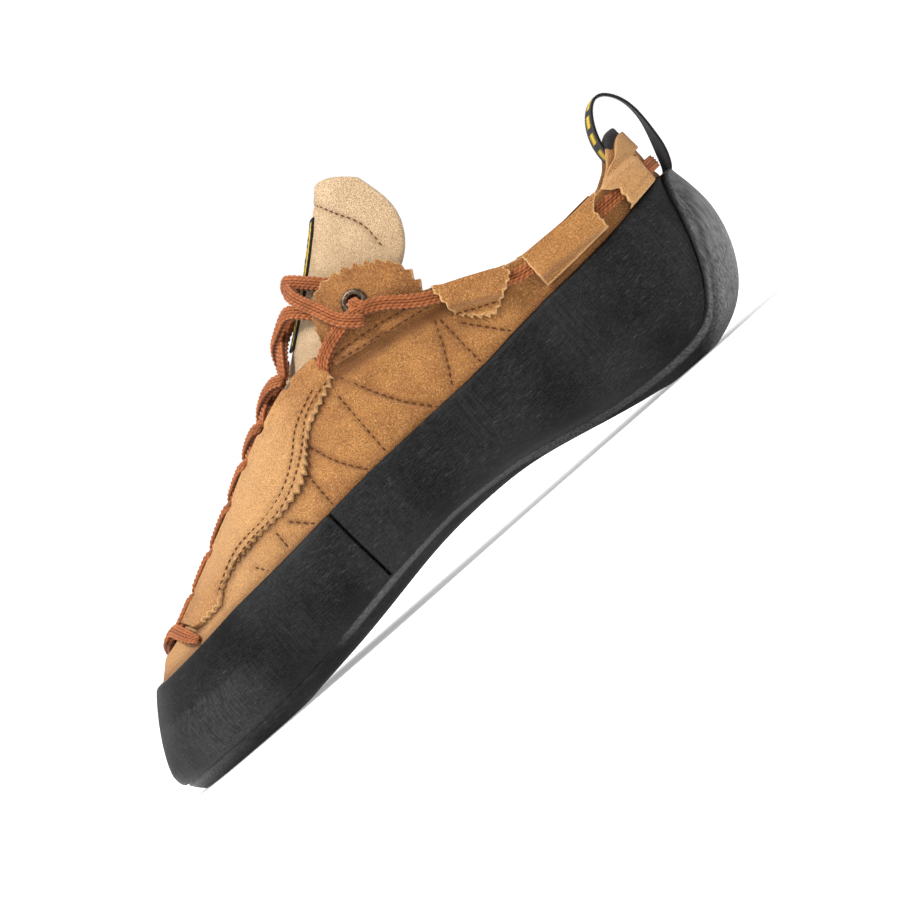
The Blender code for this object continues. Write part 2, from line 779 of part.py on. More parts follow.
def make_flap(side, material):
    """Make one half-round ankle flap with the hole for its eyelet."""
    places = side_places(side, 0.512 * LAST_LENGTH, 0.671 * LAST_LENGTH, 9)
    grid = columns_between(
        places,
        lambda place: rib_at(place).turn_on(flap_low_line),
        lambda place: rib_at(place).turn_on(flap_top_line),
        4,
    )
    flap = shell(
        side_name("ankle_flap", side), grid, steady(OVERLAY_GAP),
        steady(OVERLAY_GAP + OVERLAY_WALL), material,
    )
    centre, outward = eyelet_frame(side)
    build = bmesh.new()
    radius = EYELET_HOLE / 2 + EYELET_WALL + GAP
    bmesh.ops.create_cone(
        build, cap_ends=True, segments=14, radius1=radius, radius2=radius, depth=12 * OVERLAY_WALL
    )
    turn = Vector((0, 0, 1)).rotation_difference(outward).to_matrix()
    bmesh.ops.rotate(build, verts=build.verts[:], matrix=turn, cent=(0, 0, 0))
    bmesh.ops.translate(build, verts=build.verts[:], vec=centre)
    cutter = finish_mesh(side_name("eyelet_cutter", side), build, material)
    cut(flap, cutter)


def cut(piece, cutter):
    """Take the cutter out of the piece and drop the cutter."""
    combine(piece, cutter, "DIFFERENCE")


def combine(piece, other, operation):
    """Apply a Boolean with another object, which is then dropped."""
    modifier = piece.modifiers.new("combine", "BOOLEAN")
    modifier.object = other
    modifier.operation = operation
    bpy.context.view_layer.update()
    evaluated = piece.evaluated_get(bpy.context.evaluated_depsgraph_get())
    mesh = bpy.data.meshes.new_from_object(evaluated)
    piece.modifiers.clear()
    piece.data = mesh
    bpy.data.objects.remove(other)


def make_eyelet(side, material):
    """Make one metal eyelet: a flange outside and a barrel through the flap."""
    centre, outward = eyelet_frame(side)
    hole = EYELET_HOLE / 2
    barrel = hole + EYELET_WALL
    flange = EYELET_FLANGE / 2
    face = OVERLAY_GAP + GAP + OVERLAY_WALL
    profile = (
        (hole, GAP), (barrel, GAP), (barrel, face), (flange, face),
        (flange, face + EYELET_RIM / 2), (flange - EYELET_RIM / 2, face + EYELET_RIM),
        (hole + EYELET_RIM / 2, face + EYELET_RIM), (hole, face + EYELET_RIM / 2),
    )
    build = bmesh.new()
    ring = [build.verts.new((x, 0, z)) for x, z in profile]
    edges = [build.edges.new((ring[i - 1], ring[i])) for i in range(len(ring))]
    bmesh.ops.spin(
        build, geom=ring + edges, cent=(0, 0, 0), axis=(0, 0, 1), angle=math.tau, steps=12,
        use_merge=True,
    )
    turn = Vector((0, 0, 1)).rotation_difference(outward).to_matrix()
    bmesh.ops.rotate(build, verts=build.verts[:], matrix=turn, cent=(0, 0, 0))
    bmesh.ops.translate(build, verts=build.verts[:], vec=centre)
    finish_mesh(side_name("eyelet", side), build, material)


COVER_ROWS = (-1.37, -1.1, -0.84, 0.84, 1.1, 1.37, 1.9, 2.6)


def cover_offset(wall):
    """Return an offset that swells over the heel lace."""

    def offset(place, turn):
        point = rib_at(place).point(turn)
        away = abs(point.z - heel_lace_line(point.x)) / LACE_WIDTH
        swell = 1 - soft_step((away - 0.84) / 0.53)
        return OVERLAY_GAP + wall + (LACE_HEIGHT + GAP) * swell

    return offset


def covered(places, low, high):
    """Return a grid whose rows follow the heel lace, held between low and high."""
    grid = []
    for place in places:
        rib = rib_at(place)
        start, end = low(place), high(place)
        middle = rib.turn_on(heel_lace_line)
        height = rib.point(middle).z
        turns = [start]
        for away in COVER_ROWS:
            turn = rib.turn_on(lambda _x, away=away: height + away * LACE_WIDTH)
            turns.append(min(max(turn, start), end))
        grid.append([(place, turn) for turn in (*turns, end)])
    return grid


def make_tunnels(side, material):
    """Make the two collar tunnels of one side."""
    spans = (
        ("tunnel_front", 0.671, 0.767, tunnel_front_line),
        ("tunnel_rear", 0.788, 0.899, tunnel_rear_line),
    )
    for name, start, end, line in spans:
        places = side_places(side, start * LAST_LENGTH, end * LAST_LENGTH, 5)
        grid = covered(places, lambda place, line=line: low_over_rand(place, line), upper_turn)
        shell(side_name(name, side), grid, cover_offset(0.0), cover_offset(OVERLAY_WALL), material)


def low_over_rand(place, line):
    """Return the turn of a side line, kept above the rand."""
    base = turn_step(place, rand_turn(place), 2 * GAP)
    return max(base, rib_at(place).turn_on(line))


TAB_START = 0.934
TAB_BACK = 0.986
TAB_WINDOW = 1.035
TAB_DROP = 0.0016


def make_heel_tab(material):
    """Make the heel tab, down to the rand at both sides and open over the lace at the back."""
    start = place_at(MEDIAL, TAB_START * LAST_LENGTH)
    end = place_at(LATERAL, TAB_START * LAST_LENGTH) + OUTLINE_LENGTH
    count = 24
    places = [start + (end - start) * i / count for i in range(count + 1)]

    def low(place):
        rib = rib_at(place)
        base = turn_step(place, rand_turn(place), 2 * GAP)
        window = rib.turn_on(lambda _x: TAB_WINDOW * COLLAR_HEIGHT)
        share = soft_step((rib.edge.x / LAST_LENGTH - TAB_BACK) / 0.010 + 0.5)
        return base + (window - base) * share

    def high(place):
        return turn_step(place, upper_turn(place), -TAB_DROP)

    grid = covered(places, low, high)
    shell("heel_tab", grid, cover_offset(0.0), cover_offset(OVERLAY_WALL), material)


def band_through(points, ups, width, height, sides, smooth=3):
    """Return a bmesh of an oval band along points, flat against the directions ups."""
    places = list(range(len(points)))
    path = curve_through(places, [tuple(point) for point in points])
    lift = curve_through(places, [tuple(up) for up in ups])
    count = (len(points) - 1) * smooth
    build = bmesh.new()
    rings = []
    for i in range(count + 1):
        t = i / smooth
        here = Vector(path(t))
        ahead = Vector(path(min(t + 0.02, places[-1]))) - Vector(path(max(t - 0.02, 0)))
        forward = ahead.normalized()
        up = Vector(lift(t))
        up = (up - forward * up.dot(forward)).normalized()
        sideways = forward.cross(up)
        ring = []
        for k in range(sides):
            angle = math.tau * (k + 0.5) / sides
            ring.append(build.verts.new(
                here + sideways * (math.cos(angle) * width / 2) + up * (math.sin(angle) * height / 2)
            ))
        rings.append(ring)
    for first, second in zip(rings, rings[1:]):
        for k in range(sides):
            m = (k + 1) % sides
            build.faces.new((first[k], first[m], second[m], second[k]))
    build.faces.new(rings[0])
    build.faces.new(reversed(rings[-1]))
    return build


def band_on_last(name, route, material, sides=6, smooth=2):
    """Make a lace band along a route of (place, turn, offset)."""
    points = [skin(place, turn, offset) for place, turn, offset in route]
    ups = [normal_at(place, turn) for place, turn, _ in route]
    build = band_through(points, ups, LACE_WIDTH, LACE_HEIGHT, sides, smooth)
    return finish_mesh(name, build, material)


def crossing_route(start, end, side, lift):
    """Return the route of one lace band over the throat between two notches."""
    first = throat_at(start) - LACE_INSET
    second = throat_at(end) - LACE_INSET
    route = []
    for i in range(5):
        share = i / 4
        x = start + (end - start) * share
        reach = side * (first + (-second - first) * share)
        hump = 1 - (2 * share - 1) ** 2
        seat = LACE_SINK * (LACE_SEATED - x / LAST_LENGTH) / LACE_SEATED
        route.append((*across(x, reach), LACE_END * (1 - hump) + (lift - seat) * hump))
    return route


LACE_END = 0.0011
LACE_LOW = -0.0003
LACE_LIFT = 0.0018
LACE_SINK = 0.0008
LACE_SEATED = 0.40
LACE_INSET = 0.62 * LACE_WIDTH


def joined_bands(name, bands, material):
    """Make lace bands that are joined where they cross."""
    lace = band_on_last(name, bands[0], material)
    for route in bands[1:]:
        combine(lace, band_on_last("lace_part", route, material), "UNION")
    return lace


def make_laces(material):
    """Make the lace over the throat and the lace round the ankle flaps."""
    bands = []
    # The first bar lies slanted over the end of the vamp
    bar = []
    seat = GAP + LACE_HEIGHT / 2
    for along, height, side in ((0.126, 0.335, LATERAL), (0.118, 0.351, LATERAL)):
        bar.append((*at_height(side, along * LAST_LENGTH, height * INSTEP_HEIGHT), seat))
    bar.append((*across(0.112 * LAST_LENGTH, 0.0001), seat + GAP))
    for along, height, side in ((0.104, 0.345, MEDIAL), (0.100, 0.325, MEDIAL)):
        bar.append((*at_height(side, along * LAST_LENGTH, height * INSTEP_HEIGHT), seat))
    bands.append(bar)
    for first, second in zip(NOTCHES, NOTCHES[1:]):
        for side, lift in ((LATERAL, LACE_LOW), (MEDIAL, LACE_LIFT)):
            bands.append(crossing_route(first * LAST_LENGTH, second * LAST_LENGTH, side, lift))
    ankle = []
    for side, lift in ((LATERAL, 0.0006), (MEDIAL, 0.0028)):
        bands.append(top_crossing(side, lift))
        ankle.append(ankle_band(side, lift))
        ankle.append(hook_band(side))
    joined_bands("lace_front", bands, material)
    joined_bands("lace_ankle", ankle, material)


def top_crossing(side, lift):
    """Return the band from the highest crossing notch to the flap of the other side."""
    start = NOTCHES[-1] * LAST_LENGTH
    route = [(*across(start, side * (throat_at(start) - LACE_INSET)), LACE_END)]
    for along, reach in ((0.470, 0.055), (0.486, -0.015), (0.505, -0.060), (0.522, -0.125)):
        route.append((*across(along * LAST_LENGTH, side * reach * LAST_WIDTH), lift))
    return route


def over_flap():
    """Return the offset of a lace band's middle over an overlay."""
    return OVERLAY_GAP + GAP + OVERLAY_WALL + LACE_HEIGHT / 2


HOOK_OFFSET = OVERLAY_GAP + 2 * GAP + OVERLAY_WALL + EYELET_RIM + LACE_HEIGHT / 2


def ankle_band(side, lift):
    """Return the band from one eyelet up over the shin to the other side's flap."""
    rise = over_flap() + LACE_HEIGHT * 0.8
    route = []
    stops = ((0.568, 0.678, HOOK_OFFSET + LACE_HEIGHT / 2), (0.562, 0.700, rise), (0.556, 0.745, rise))
    for along, height, offset in stops:
        route.append(
            (*at_height(side, along * LAST_LENGTH, height * INSTEP_HEIGHT), offset)
        )
    for along, reach, offset in ((0.549, 0.10, 0.0042), (0.551, -0.02, lift + 0.0004), (0.560, -0.11, 0.0024)):
        route.append((*across(along * LAST_LENGTH, side * reach * LAST_WIDTH), offset))
    top = (0.577 * LAST_LENGTH, 0.848 * INSTEP_HEIGHT)
    route.append((*at_height(-side, *top), LACE_HEIGHT * 0.8))
    return route


def hook_band(side):
    """Return the band from the top notch round the hook to the collar tunnel."""
    stops = (
        (TOP_NOTCH, 0.641, over_flap()), (0.535, 0.660, over_flap()), (0.571, 0.672, HOOK_OFFSET),
        (0.607, 0.656, HOOK_OFFSET), (0.640, 0.612, over_flap()), (0.662, 0.583, over_flap()),
    )
    return [
        (*at_height(side, along * LAST_LENGTH, height * INSTEP_HEIGHT), offset)
        for along, height, offset in stops
    ]


def make_lace_heel(material):
    """Make the lace run from tunnel to tunnel, round the heel."""
    seat = GAP + LACE_HEIGHT / 2
    lateral = side_places(LATERAL, 0.676 * LAST_LENGTH, HEEL_AXIS, 6)
    medial = side_places(MEDIAL, HEEL_AXIS, 0.676 * LAST_LENGTH, 6)
    start, end = lateral[-1], medial[0] - OUTLINE_LENGTH
    places = lateral + [start + (end - start) * i / 16 for i in range(1, 16)] + medial
    route = [(place, rib_at(place).turn_on(heel_lace_line), seat) for place in places]
    return band_on_last("lace_heel", route, material, smooth=1)


# Pull loop. Columns: along (of LAST_LENGTH), height (of COLLAR_HEIGHT), slope (of the webbing's
# width out of the cross direction)
LOOP = (
    (1.014, 0.866, 0.28), (1.022, 0.950, 0.30), (1.028, 1.060, 0.16), (1.031, 1.170, 0.05),
    (1.027, 1.280, 0.00), (1.014, 1.360, 0.00), (0.999, 1.377, 0.10), (0.984, 1.345, 0.20),
    (0.970, 1.265, 0.25), (0.962, 1.160, 0.25), (0.963, 1.060, 0.26), (0.971, 0.975, 0.28),
    (0.979, 0.880, 0.28),
)


def make_pull_loop(material):
    """Make the webbing loop that stands on the heel strip and ends inside the collar."""
    points = [Vector((row[0] * LAST_LENGTH, 0, row[1] * COLLAR_HEIGHT)) for row in LOOP]
    widths = [Vector((-row[2], 1, 0)).normalized() for row in LOOP]
    ups = []
    for i, point in enumerate(points):
        before = points[max(i - 1, 0)]
        after = points[min(i + 1, len(points) - 1)]
        forward = (after - before).normalized()
        ups.append(forward.cross(widths[i]))
    places = list(range(len(points)))
    path = curve_through(places, [tuple(point) for point in points])
    lift = curve_through(places, [tuple(up) for up in ups])
    spread = curve_through(places, [tuple(width) for width in widths])
    build = bmesh.new()
    rings = []
    count = 2 * places[-1]
    for i in range(count + 1):
        t = i * places[-1] / count
        here, up = Vector(path(t)), Vector(lift(t)).normalized()
        across = Vector(spread(t)).normalized()
        ring = []
        for a, b in ((-1, -1), (1, -1), (1, 1), (-1, 1)):
            side = across * (a * WEB_WIDTH / 2)
            ring.append(build.verts.new(here + side + up * (b * WEB_WALL / 2)))
        rings.append(ring)
    for first, second in zip(rings, rings[1:]):
        for k in range(4):
            m = (k + 1) % 4
            build.faces.new((first[k], first[m], second[m], second[k]))
    build.faces.new(rings[0])
    build.faces.new(reversed(rings[-1]))
    return finish_mesh("pull_loop", build, material)


def centre_on_floor():
    """Move the shoe so that its box stands on the origin, middle of its floor rectangle."""
    pieces = [piece for piece in bpy.context.scene.objects if piece.type == "MESH"]
    corners = [vertex.co for piece in pieces for vertex in piece.data.vertices]
    xs = [corner.x for corner in corners]
    ys = [corner.y for corner in corners]
    zs = [corner.z for corner in corners]
    shift = Vector((-(min(xs) + max(xs)) / 2, -(min(ys) + max(ys)) / 2, -min(zs)))
    for piece in pieces:
        piece.location = shift


def main():
    """Build the shoe."""
    for item in list(bpy.data.objects):
        bpy.data.objects.remove(item)
    rubber = colour_material("rubber", (0.030, 0.030, 0.031), 0.55)
    suede = colour_material("suede", (0.60, 0.30, 0.08), 0.90)
    pale_suede = colour_material("pale_suede", (0.62, 0.46, 0.28), 0.92)
    board = colour_material("board", (0.35, 0.28, 0.20), 0.90)
    lace = colour_material("lace", (0.50, 0.13, 0.03), 0.85)
    webbing = colour_material("webbing", (0.02, 0.02, 0.02), 0.75)
    metal = colour_material("metal", (0.10, 0.08, 0.07), 0.40, 0.9)
    make_outsole(rubber)
    make_rand(rubber)
    make_upper(suede)
    make_insole(board)
    make_tongue(pale_suede)
    make_label(webbing)
    for side in (LATERAL, MEDIAL):
        make_eyestay(side, suede)
        make_flap(side, suede)
        make_eyelet(side, metal)
        make_tunnels(side, suede)
    make_heel_tab(suede)
    make_laces(lace)
    make_lace_heel(lace)
    make_pull_loop(webbing)
    centre_on_floor()


main()
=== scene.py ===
"""Climbing shoe for the left foot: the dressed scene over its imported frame.

The toe points to -X, the heel to +X, the lateral side to -Y and the medial side to +Y.
Every piece is a fine patch of the same last as the solids, or a band that follows it.
"""
import logging
import math
from dataclasses import dataclass, field
from enum import Enum
from typing import Callable, Optional, Sequence

import bmesh
import bpy
import numpy as np
from mathutils import Matrix, Vector


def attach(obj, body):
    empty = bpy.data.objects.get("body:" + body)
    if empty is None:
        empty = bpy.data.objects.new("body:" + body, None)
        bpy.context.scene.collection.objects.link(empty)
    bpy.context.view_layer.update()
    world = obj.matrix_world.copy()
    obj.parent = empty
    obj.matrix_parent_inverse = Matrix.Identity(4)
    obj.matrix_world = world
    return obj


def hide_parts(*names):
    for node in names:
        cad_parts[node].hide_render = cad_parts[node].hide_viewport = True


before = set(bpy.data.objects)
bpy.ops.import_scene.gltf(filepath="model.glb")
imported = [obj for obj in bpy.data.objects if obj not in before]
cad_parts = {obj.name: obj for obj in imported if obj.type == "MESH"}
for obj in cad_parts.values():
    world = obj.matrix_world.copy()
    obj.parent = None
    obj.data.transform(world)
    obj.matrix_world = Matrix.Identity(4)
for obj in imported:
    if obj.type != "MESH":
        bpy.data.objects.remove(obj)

logging.basicConfig(level=logging.INFO, format="%(message)s")
LOG = logging.getLogger("shoe")

Array = np.ndarray
Line = Callable[[Array], Array]
MM = 0.001
WELD = 2e-6
# x of the rubber's tip in the millimetres of the side view
RUBBER_TIP = 2


class Side(Enum):
    """The two sides of the shoe."""

    LATERAL = -1
    MEDIAL = 1

    @property
    def word(self) -> str:
        """Return the side as names spell it."""
        return self.name.lower()


@dataclass(frozen=True)
class LastSizes:
    """Driving sizes of the last, in metres."""

    length: float = 0.2355
    width: float = 0.079
    rand_height: float = 0.047
    collar_height: float = 0.060
    instep_height: float = 0.1185
    arch_rise: float = 0.011
    toe_axis: float = 0.095
    heel_axis: float = 0.870
    axis_blend: float = 0.034
    shift: tuple = (-0.120812, 0.002123, 0.0)


@dataclass(frozen=True)
class Walls:
    """Thicknesses and clearances, in metres."""

    upper: float = 0.0018
    rand: float = 0.0017
    sole: float = 0.0043
    heel_strip: float = 0.0036
    insole: float = 0.0020
    tongue: float = 0.0026
    overlay: float = 0.0013
    label: float = 0.0008
    web: float = 0.0010
    gap: float = 0.0003
    overlay_gap: float = 0.0006
    rubber_gap: float = 0.0005
    lasting_margin: float = 0.016
    insole_margin: float = 0.0085
    lace_width: float = 0.0048
    lace_height: float = 0.0032
    web_width: float = 0.010


SIZES = LastSizes()
WALLS = Walls()

# Columns: along (of the length), lateral and medial (of the width), rise (of the arch), waist
# (of the rand height), ridge (of the instep), spine (of the width), low and high powers
LAST = (
    (0.000, -0.120, 0.120, -0.03, 0.20, 0.338, 0.085, 4.2, 1.27),
    (0.015, 0.060, 0.255, -0.03, 0.22, 0.338, 0.085, 4.1, 1.32),
    (0.035, 0.165, 0.332, -0.03, 0.24, 0.338, 0.085, 3.9, 1.44),
    (0.060, 0.248, 0.378, -0.03, 0.26, 0.338, 0.085, 3.6, 1.60),
    (0.095, 0.325, 0.413, -0.03, 0.285, 0.338, 0.085, 3.4, 1.75),
    (0.160, 0.420, 0.448, -0.02, 0.33, 0.385, 0.085, 3.2, 2.00),
    (0.240, 0.490, 0.466, 0.13, 0.37, 0.465, 0.080, 3.1, 2.10),
    (0.310, 0.520, 0.455, 0.33, 0.41, 0.540, 0.065, 3.0, 2.10),
    (0.380, 0.495, 0.405, 0.59, 0.47, 0.620, 0.045, 2.9, 1.95),
    (0.460, 0.435, 0.335, 0.87, 0.55, 0.718, 0.025, 2.8, 1.90),
    (0.540, 0.385, 0.288, 0.98, 0.595, 0.842, 0.010, 2.6, 1.85),
    (0.620, 0.357, 0.280, 0.92, 0.60, 0.985, 0.000, 2.6, 1.80),
    (0.700, 0.352, 0.308, 0.60, 0.61, 1.150, 0.000, 2.6, 1.80),
    (0.790, 0.362, 0.345, 0.18, 0.64, 1.285, 0.000, 2.6, 1.75),
    (0.870, 0.358, 0.355, -0.03, 0.69, 1.325, 0.000, 2.6, 1.75),
    (0.925, 0.325, 0.325, -0.03, 0.73, 1.333, 0.000, 2.6, 1.80),
    (0.965, 0.252, 0.252, -0.03, 0.765, 1.333, 0.000, 2.5, 1.85),
    (0.990, 0.145, 0.145, -0.03, 0.795, 1.333, 0.000, 2.45, 1.90),
    (1.000, 0.000, 0.000, -0.03, 0.81, 1.333, 0.000, 2.45, 1.90),
)
# Side lines: along (of the length), height (of the size named where the line is made)
SOLE_LINE = (
    (0.000, 0.096), (0.076, 0.102), (0.140, 0.113), (0.204, 0.145), (0.246, 0.166), (0.310, 0.213),
    (0.352, 0.249), (0.391, 0.277), (0.459, 0.309), (0.501, 0.326), (0.544, 0.319), (0.607, 0.294),
    (0.671, 0.230), (0.713, 0.181), (0.756, 0.145), (0.798, 0.123), (0.841, 0.119), (0.883, 0.132),
    (0.909, 0.170), (0.930, 0.255), (0.951, 0.404), (0.966, 0.574), (0.977, 0.723), (0.985, 0.894),
    (0.990, 1.000), (1.000, 1.090),
)
RAND_LINE = (
    (0.000, 0.734), (0.064, 0.737), (0.140, 0.770), (0.204, 0.809), (0.289, 0.834), (0.382, 0.872),
    (0.459, 0.900), (0.544, 0.909), (0.628, 0.919), (0.671, 0.932), (0.713, 0.957), (0.777, 0.985),
    (0.841, 1.000), (0.892, 1.021), (0.926, 1.043), (0.968, 1.074), (1.000, 1.106),
)
EYESTAY_LINE = (
    (0.119, 0.321), (0.195, 0.338), (0.212, 0.371), (0.246, 0.397), (0.289, 0.409), (0.331, 0.414),
    (0.374, 0.430), (0.395, 0.456), (0.416, 0.506), (0.437, 0.540), (0.467, 0.565), (0.505, 0.591),
)
FLAP_TOP_LINE = (
    (0.512, 0.645), (0.518, 0.675), (0.527, 0.734), (0.548, 0.781), (0.573, 0.802), (0.607, 0.797),
    (0.628, 0.776), (0.650, 0.751), (0.662, 0.717), (0.671, 0.675),
)
FLAP_LOW_LINE = ((0.512, 0.612), (0.658, 0.574), (0.671, 0.582))
COLLAR_LINE = (
    (0.450, 1.292), (0.493, 1.317), (0.522, 1.292), (0.586, 1.250), (0.650, 1.217), (0.671, 1.192),
    (0.713, 1.125), (0.764, 1.037), (0.798, 1.005), (0.862, 1.000), (0.926, 1.008), (0.951, 1.067),
    (0.968, 1.150), (0.980, 1.200), (0.990, 1.210), (1.000, 1.200),
)
TUNNEL_FRONT_LINE = ((0.667, 1.033), (0.692, 0.950), (0.713, 0.892), (0.747, 0.933), (0.769, 0.983))
TUNNEL_REAR_LINE = ((0.786, 0.808), (0.841, 0.817), (0.900, 0.833))
HEEL_LACE_LINE = (
    (0.640, 1.190), (0.667, 1.142), (0.692, 1.100), (0.713, 1.058), (0.756, 0.967), (0.777, 0.942),
    (0.841, 0.933), (0.904, 0.925), (0.947, 0.925), (1.000, 0.930),
)
THROAT = (
    (0.000, 0.038), (0.095, 0.038), (0.119, 0.058), (0.161, 0.082), (0.246, 0.110), (0.374, 0.134),
    (0.416, 0.155), (0.459, 0.196), (0.493, 0.228),
)
TONGUE = (
    (0.135, 0.140, 0.350), (0.190, 0.198, 0.395), (0.246, 0.260, 0.440), (0.310, 0.330, 0.500),
    (0.374, 0.405, 0.560), (0.420, 0.475, 0.610), (0.459, 0.545, 0.645), (0.500, 0.613, 0.675),
    (0.540, 0.667, 0.715), (0.575, 0.696, 0.780), (0.608, 0.704, 0.860), (0.640, 0.692, 0.960),
)
NOTCHES = (0.123, 0.174, 0.229, 0.289, 0.340, 0.386, 0.449)
LOOP = (
    (1.007, 0.838, 0.28),
    (1.014, 0.866, 0.28), (1.022, 0.950, 0.30), (1.028, 1.060, 0.16), (1.031, 1.170, 0.05),
    (1.027, 1.280, 0.00), (1.014, 1.360, 0.00), (0.999, 1.377, 0.10), (0.984, 1.345, 0.20),
    (0.970, 1.265, 0.25), (0.962, 1.160, 0.25), (0.963, 1.060, 0.26), (0.971, 0.975, 0.28),
    (0.979, 0.880, 0.28),
)


class Curve:
    """A smooth curve of continuous curvature through given values."""

    def __init__(self, places: Sequence, values: Sequence, closed: bool = False) -> None:
        """Solve the curve.

        Args:
            places: Rising places of the values.
            values: One number or vector for each place.
            closed: Whether the last value joins the first smoothly.
        """
        self.t = np.asarray(places, dtype=float)
        v = np.asarray(values, dtype=float)
        self.v = v[:, None] if v.ndim == 1 else v
        self.closed = closed
        steps = np.diff(self.t)
        self.steps = steps
        count = len(self.t) - 1 if closed else len(self.t)
        matrix = np.zeros((count, count))
        right = np.zeros((count, self.v.shape[1]))
        slopes = np.diff(self.v, axis=0) / steps[:, None]
        for i in range(count):
            if not closed and i in (0, count - 1):
                matrix[i, i] = 1.0
                continue
            before, after = (i - 1) % len(steps), i % len(steps)
            matrix[i, (i - 1) % count] += steps[before]
            matrix[i, i] += 2 * (steps[before] + steps[after])
            matrix[i, (i + 1) % count] += steps[after]
            right[i] = 6 * (slopes[after] - slopes[before])
        bends = np.linalg.solve(matrix, right)
        self.bends = np.vstack([bends, bends[:1]]) if closed else bends

    def __call__(self, place: Array) -> Array:
        """Return the curve's values.

        Args:
            place: Places of any shape.

        Returns:
            Values with that shape, and one more axis for vectors.
        """
        place = np.asarray(place, dtype=float)
        start, end = self.t[0], self.t[-1]
        if self.closed:
            place = start + np.mod(place - start, end - start)
        place = np.clip(place, start, end)
        i = np.minimum(np.searchsorted(self.t, place, side="right") - 1, len(self.steps) - 1)
        h = self.steps[i]
        a, b = ((self.t[i + 1] - place) / h)[..., None], ((place - self.t[i]) / h)[..., None]
        value = a * self.v[i] + b * self.v[i + 1]
        bend = (a**3 - a) * self.bends[i] + (b**3 - b) * self.bends[i + 1]
        value = value + bend * (h * h)[..., None] / 6
        return value if value.shape[-1] > 1 else value[..., 0]


def soft_step(value: Array) -> Array:
    """Return a smooth 0 to 1 step."""
    value = np.clip(value, 0.0, 1.0)
    return value * value * (3 - 2 * value)


def rounded(distance: Array, radius: float) -> Array:
    """Return the share of the full wall at a distance from a rounded edge."""
    share = np.clip(distance / radius, 0.0, 1.0)
    return np.sqrt(1 - (1 - share) ** 2)


def bell(distance: Array, width: float, power: int = 2) -> Array:
    """Return a bump of height 1 at distance 0 that fades out over a width."""
    return np.exp(-((distance / width) ** power))


def fading(distance: Array, width: float) -> Array:
    """Return a share that falls from 1 at distance 0 over a width."""
    return np.exp(-distance / width)


def ramp(distance: Array, width: float, start: float = 1.0) -> Array:
    """Return a share that falls in a straight line from a start, held between 0 and 1."""
    return np.clip(start - distance / width, 0, 1)


def unit(vectors: Array) -> Array:
    """Return vectors at length 1."""
    return vectors / np.linalg.norm(vectors, axis=-1, keepdims=True)


def boxy(wave: Array, power: float) -> Array:
    """Return a sine or cosine whose circle is squared up by a power below 1."""
    return np.sign(wave) * np.abs(wave) ** power


def along_run(at: float, run: Array, values: Array) -> Array:
    """Return the vector that belongs to one distance of a run."""
    return np.array([np.interp(at, run, values[:, k]) for k in range(3)])


def run_along(points: Array) -> Array:
    """Return the distance walked along points, from 0 at the first."""
    return np.concatenate(((0.0,), np.cumsum(np.linalg.norm(np.diff(points, axis=0), axis=-1))))


def side_line(rows: Sequence, height: float, soften: float = 1.2 * MM) -> Line:
    """Return a side line with its kinks softened.

    Args:
        rows: Pairs of along and height shares.
        height: Size that the heights are shares of.
        soften: Distance over which kinks are rounded.

    Returns:
        Height as a function of x.
    """
    xs = np.array([row[0] for row in rows]) * SIZES.length
    zs = np.array([row[1] for row in rows]) * height

    def line(x: Array) -> Array:
        """Return the softened height at x."""
        spread = [np.interp(np.asarray(x) + soften * k, xs, zs) for k in (-1, -0.5, 0, 0.5, 1)]
        return sum(spread) / len(spread)

    return line


def polyline_distance(x: Array, z: Array, route: Sequence) -> Array:
    """Return the distance to a route in the side view.

    Args:
        x: x of the points, in metres of the last.
        z: Height of the points.
        route: Pairs of x and height in millimetres of the side view.

    Returns:
        Distances in metres.
    """
    points = [((a - RUBBER_TIP) * MM, b * MM) for a, b in route]
    best = np.full(np.shape(x), 1.0)
    for (ax, az), (bx, bz) in zip(points, points[1:]):
        dx, dz = bx - ax, bz - az
        share = np.clip(((x - ax) * dx + (z - az) * dz) / (dx * dx + dz * dz), 0, 1)
        best = np.minimum(best, np.hypot(x - ax - share * dx, z - az - share * dz))
    return best


def teeth(length: Array, pitch: float, depth: float) -> Array:
    """Return the zigzag of a pinked edge, its teeth rounded and uneven from use.

    Args:
        length: Distance along the edge.
        pitch: Distance between teeth.
        depth: Height of a tooth.

    Returns:
        How far the edge steps back, 0 at the tips.
    """
    phase = np.mod(length / pitch + 0.12 * np.sin(length / (7 * MM)), 1.0)
    point = 1 - np.abs(2 * phase - 1)
    bow = np.sin(math.pi * phase) ** 2
    return depth * (0.8 + 0.3 * np.sin(length / (5.3 * MM) + 1)) * (0.5 * point + 0.5 * bow)


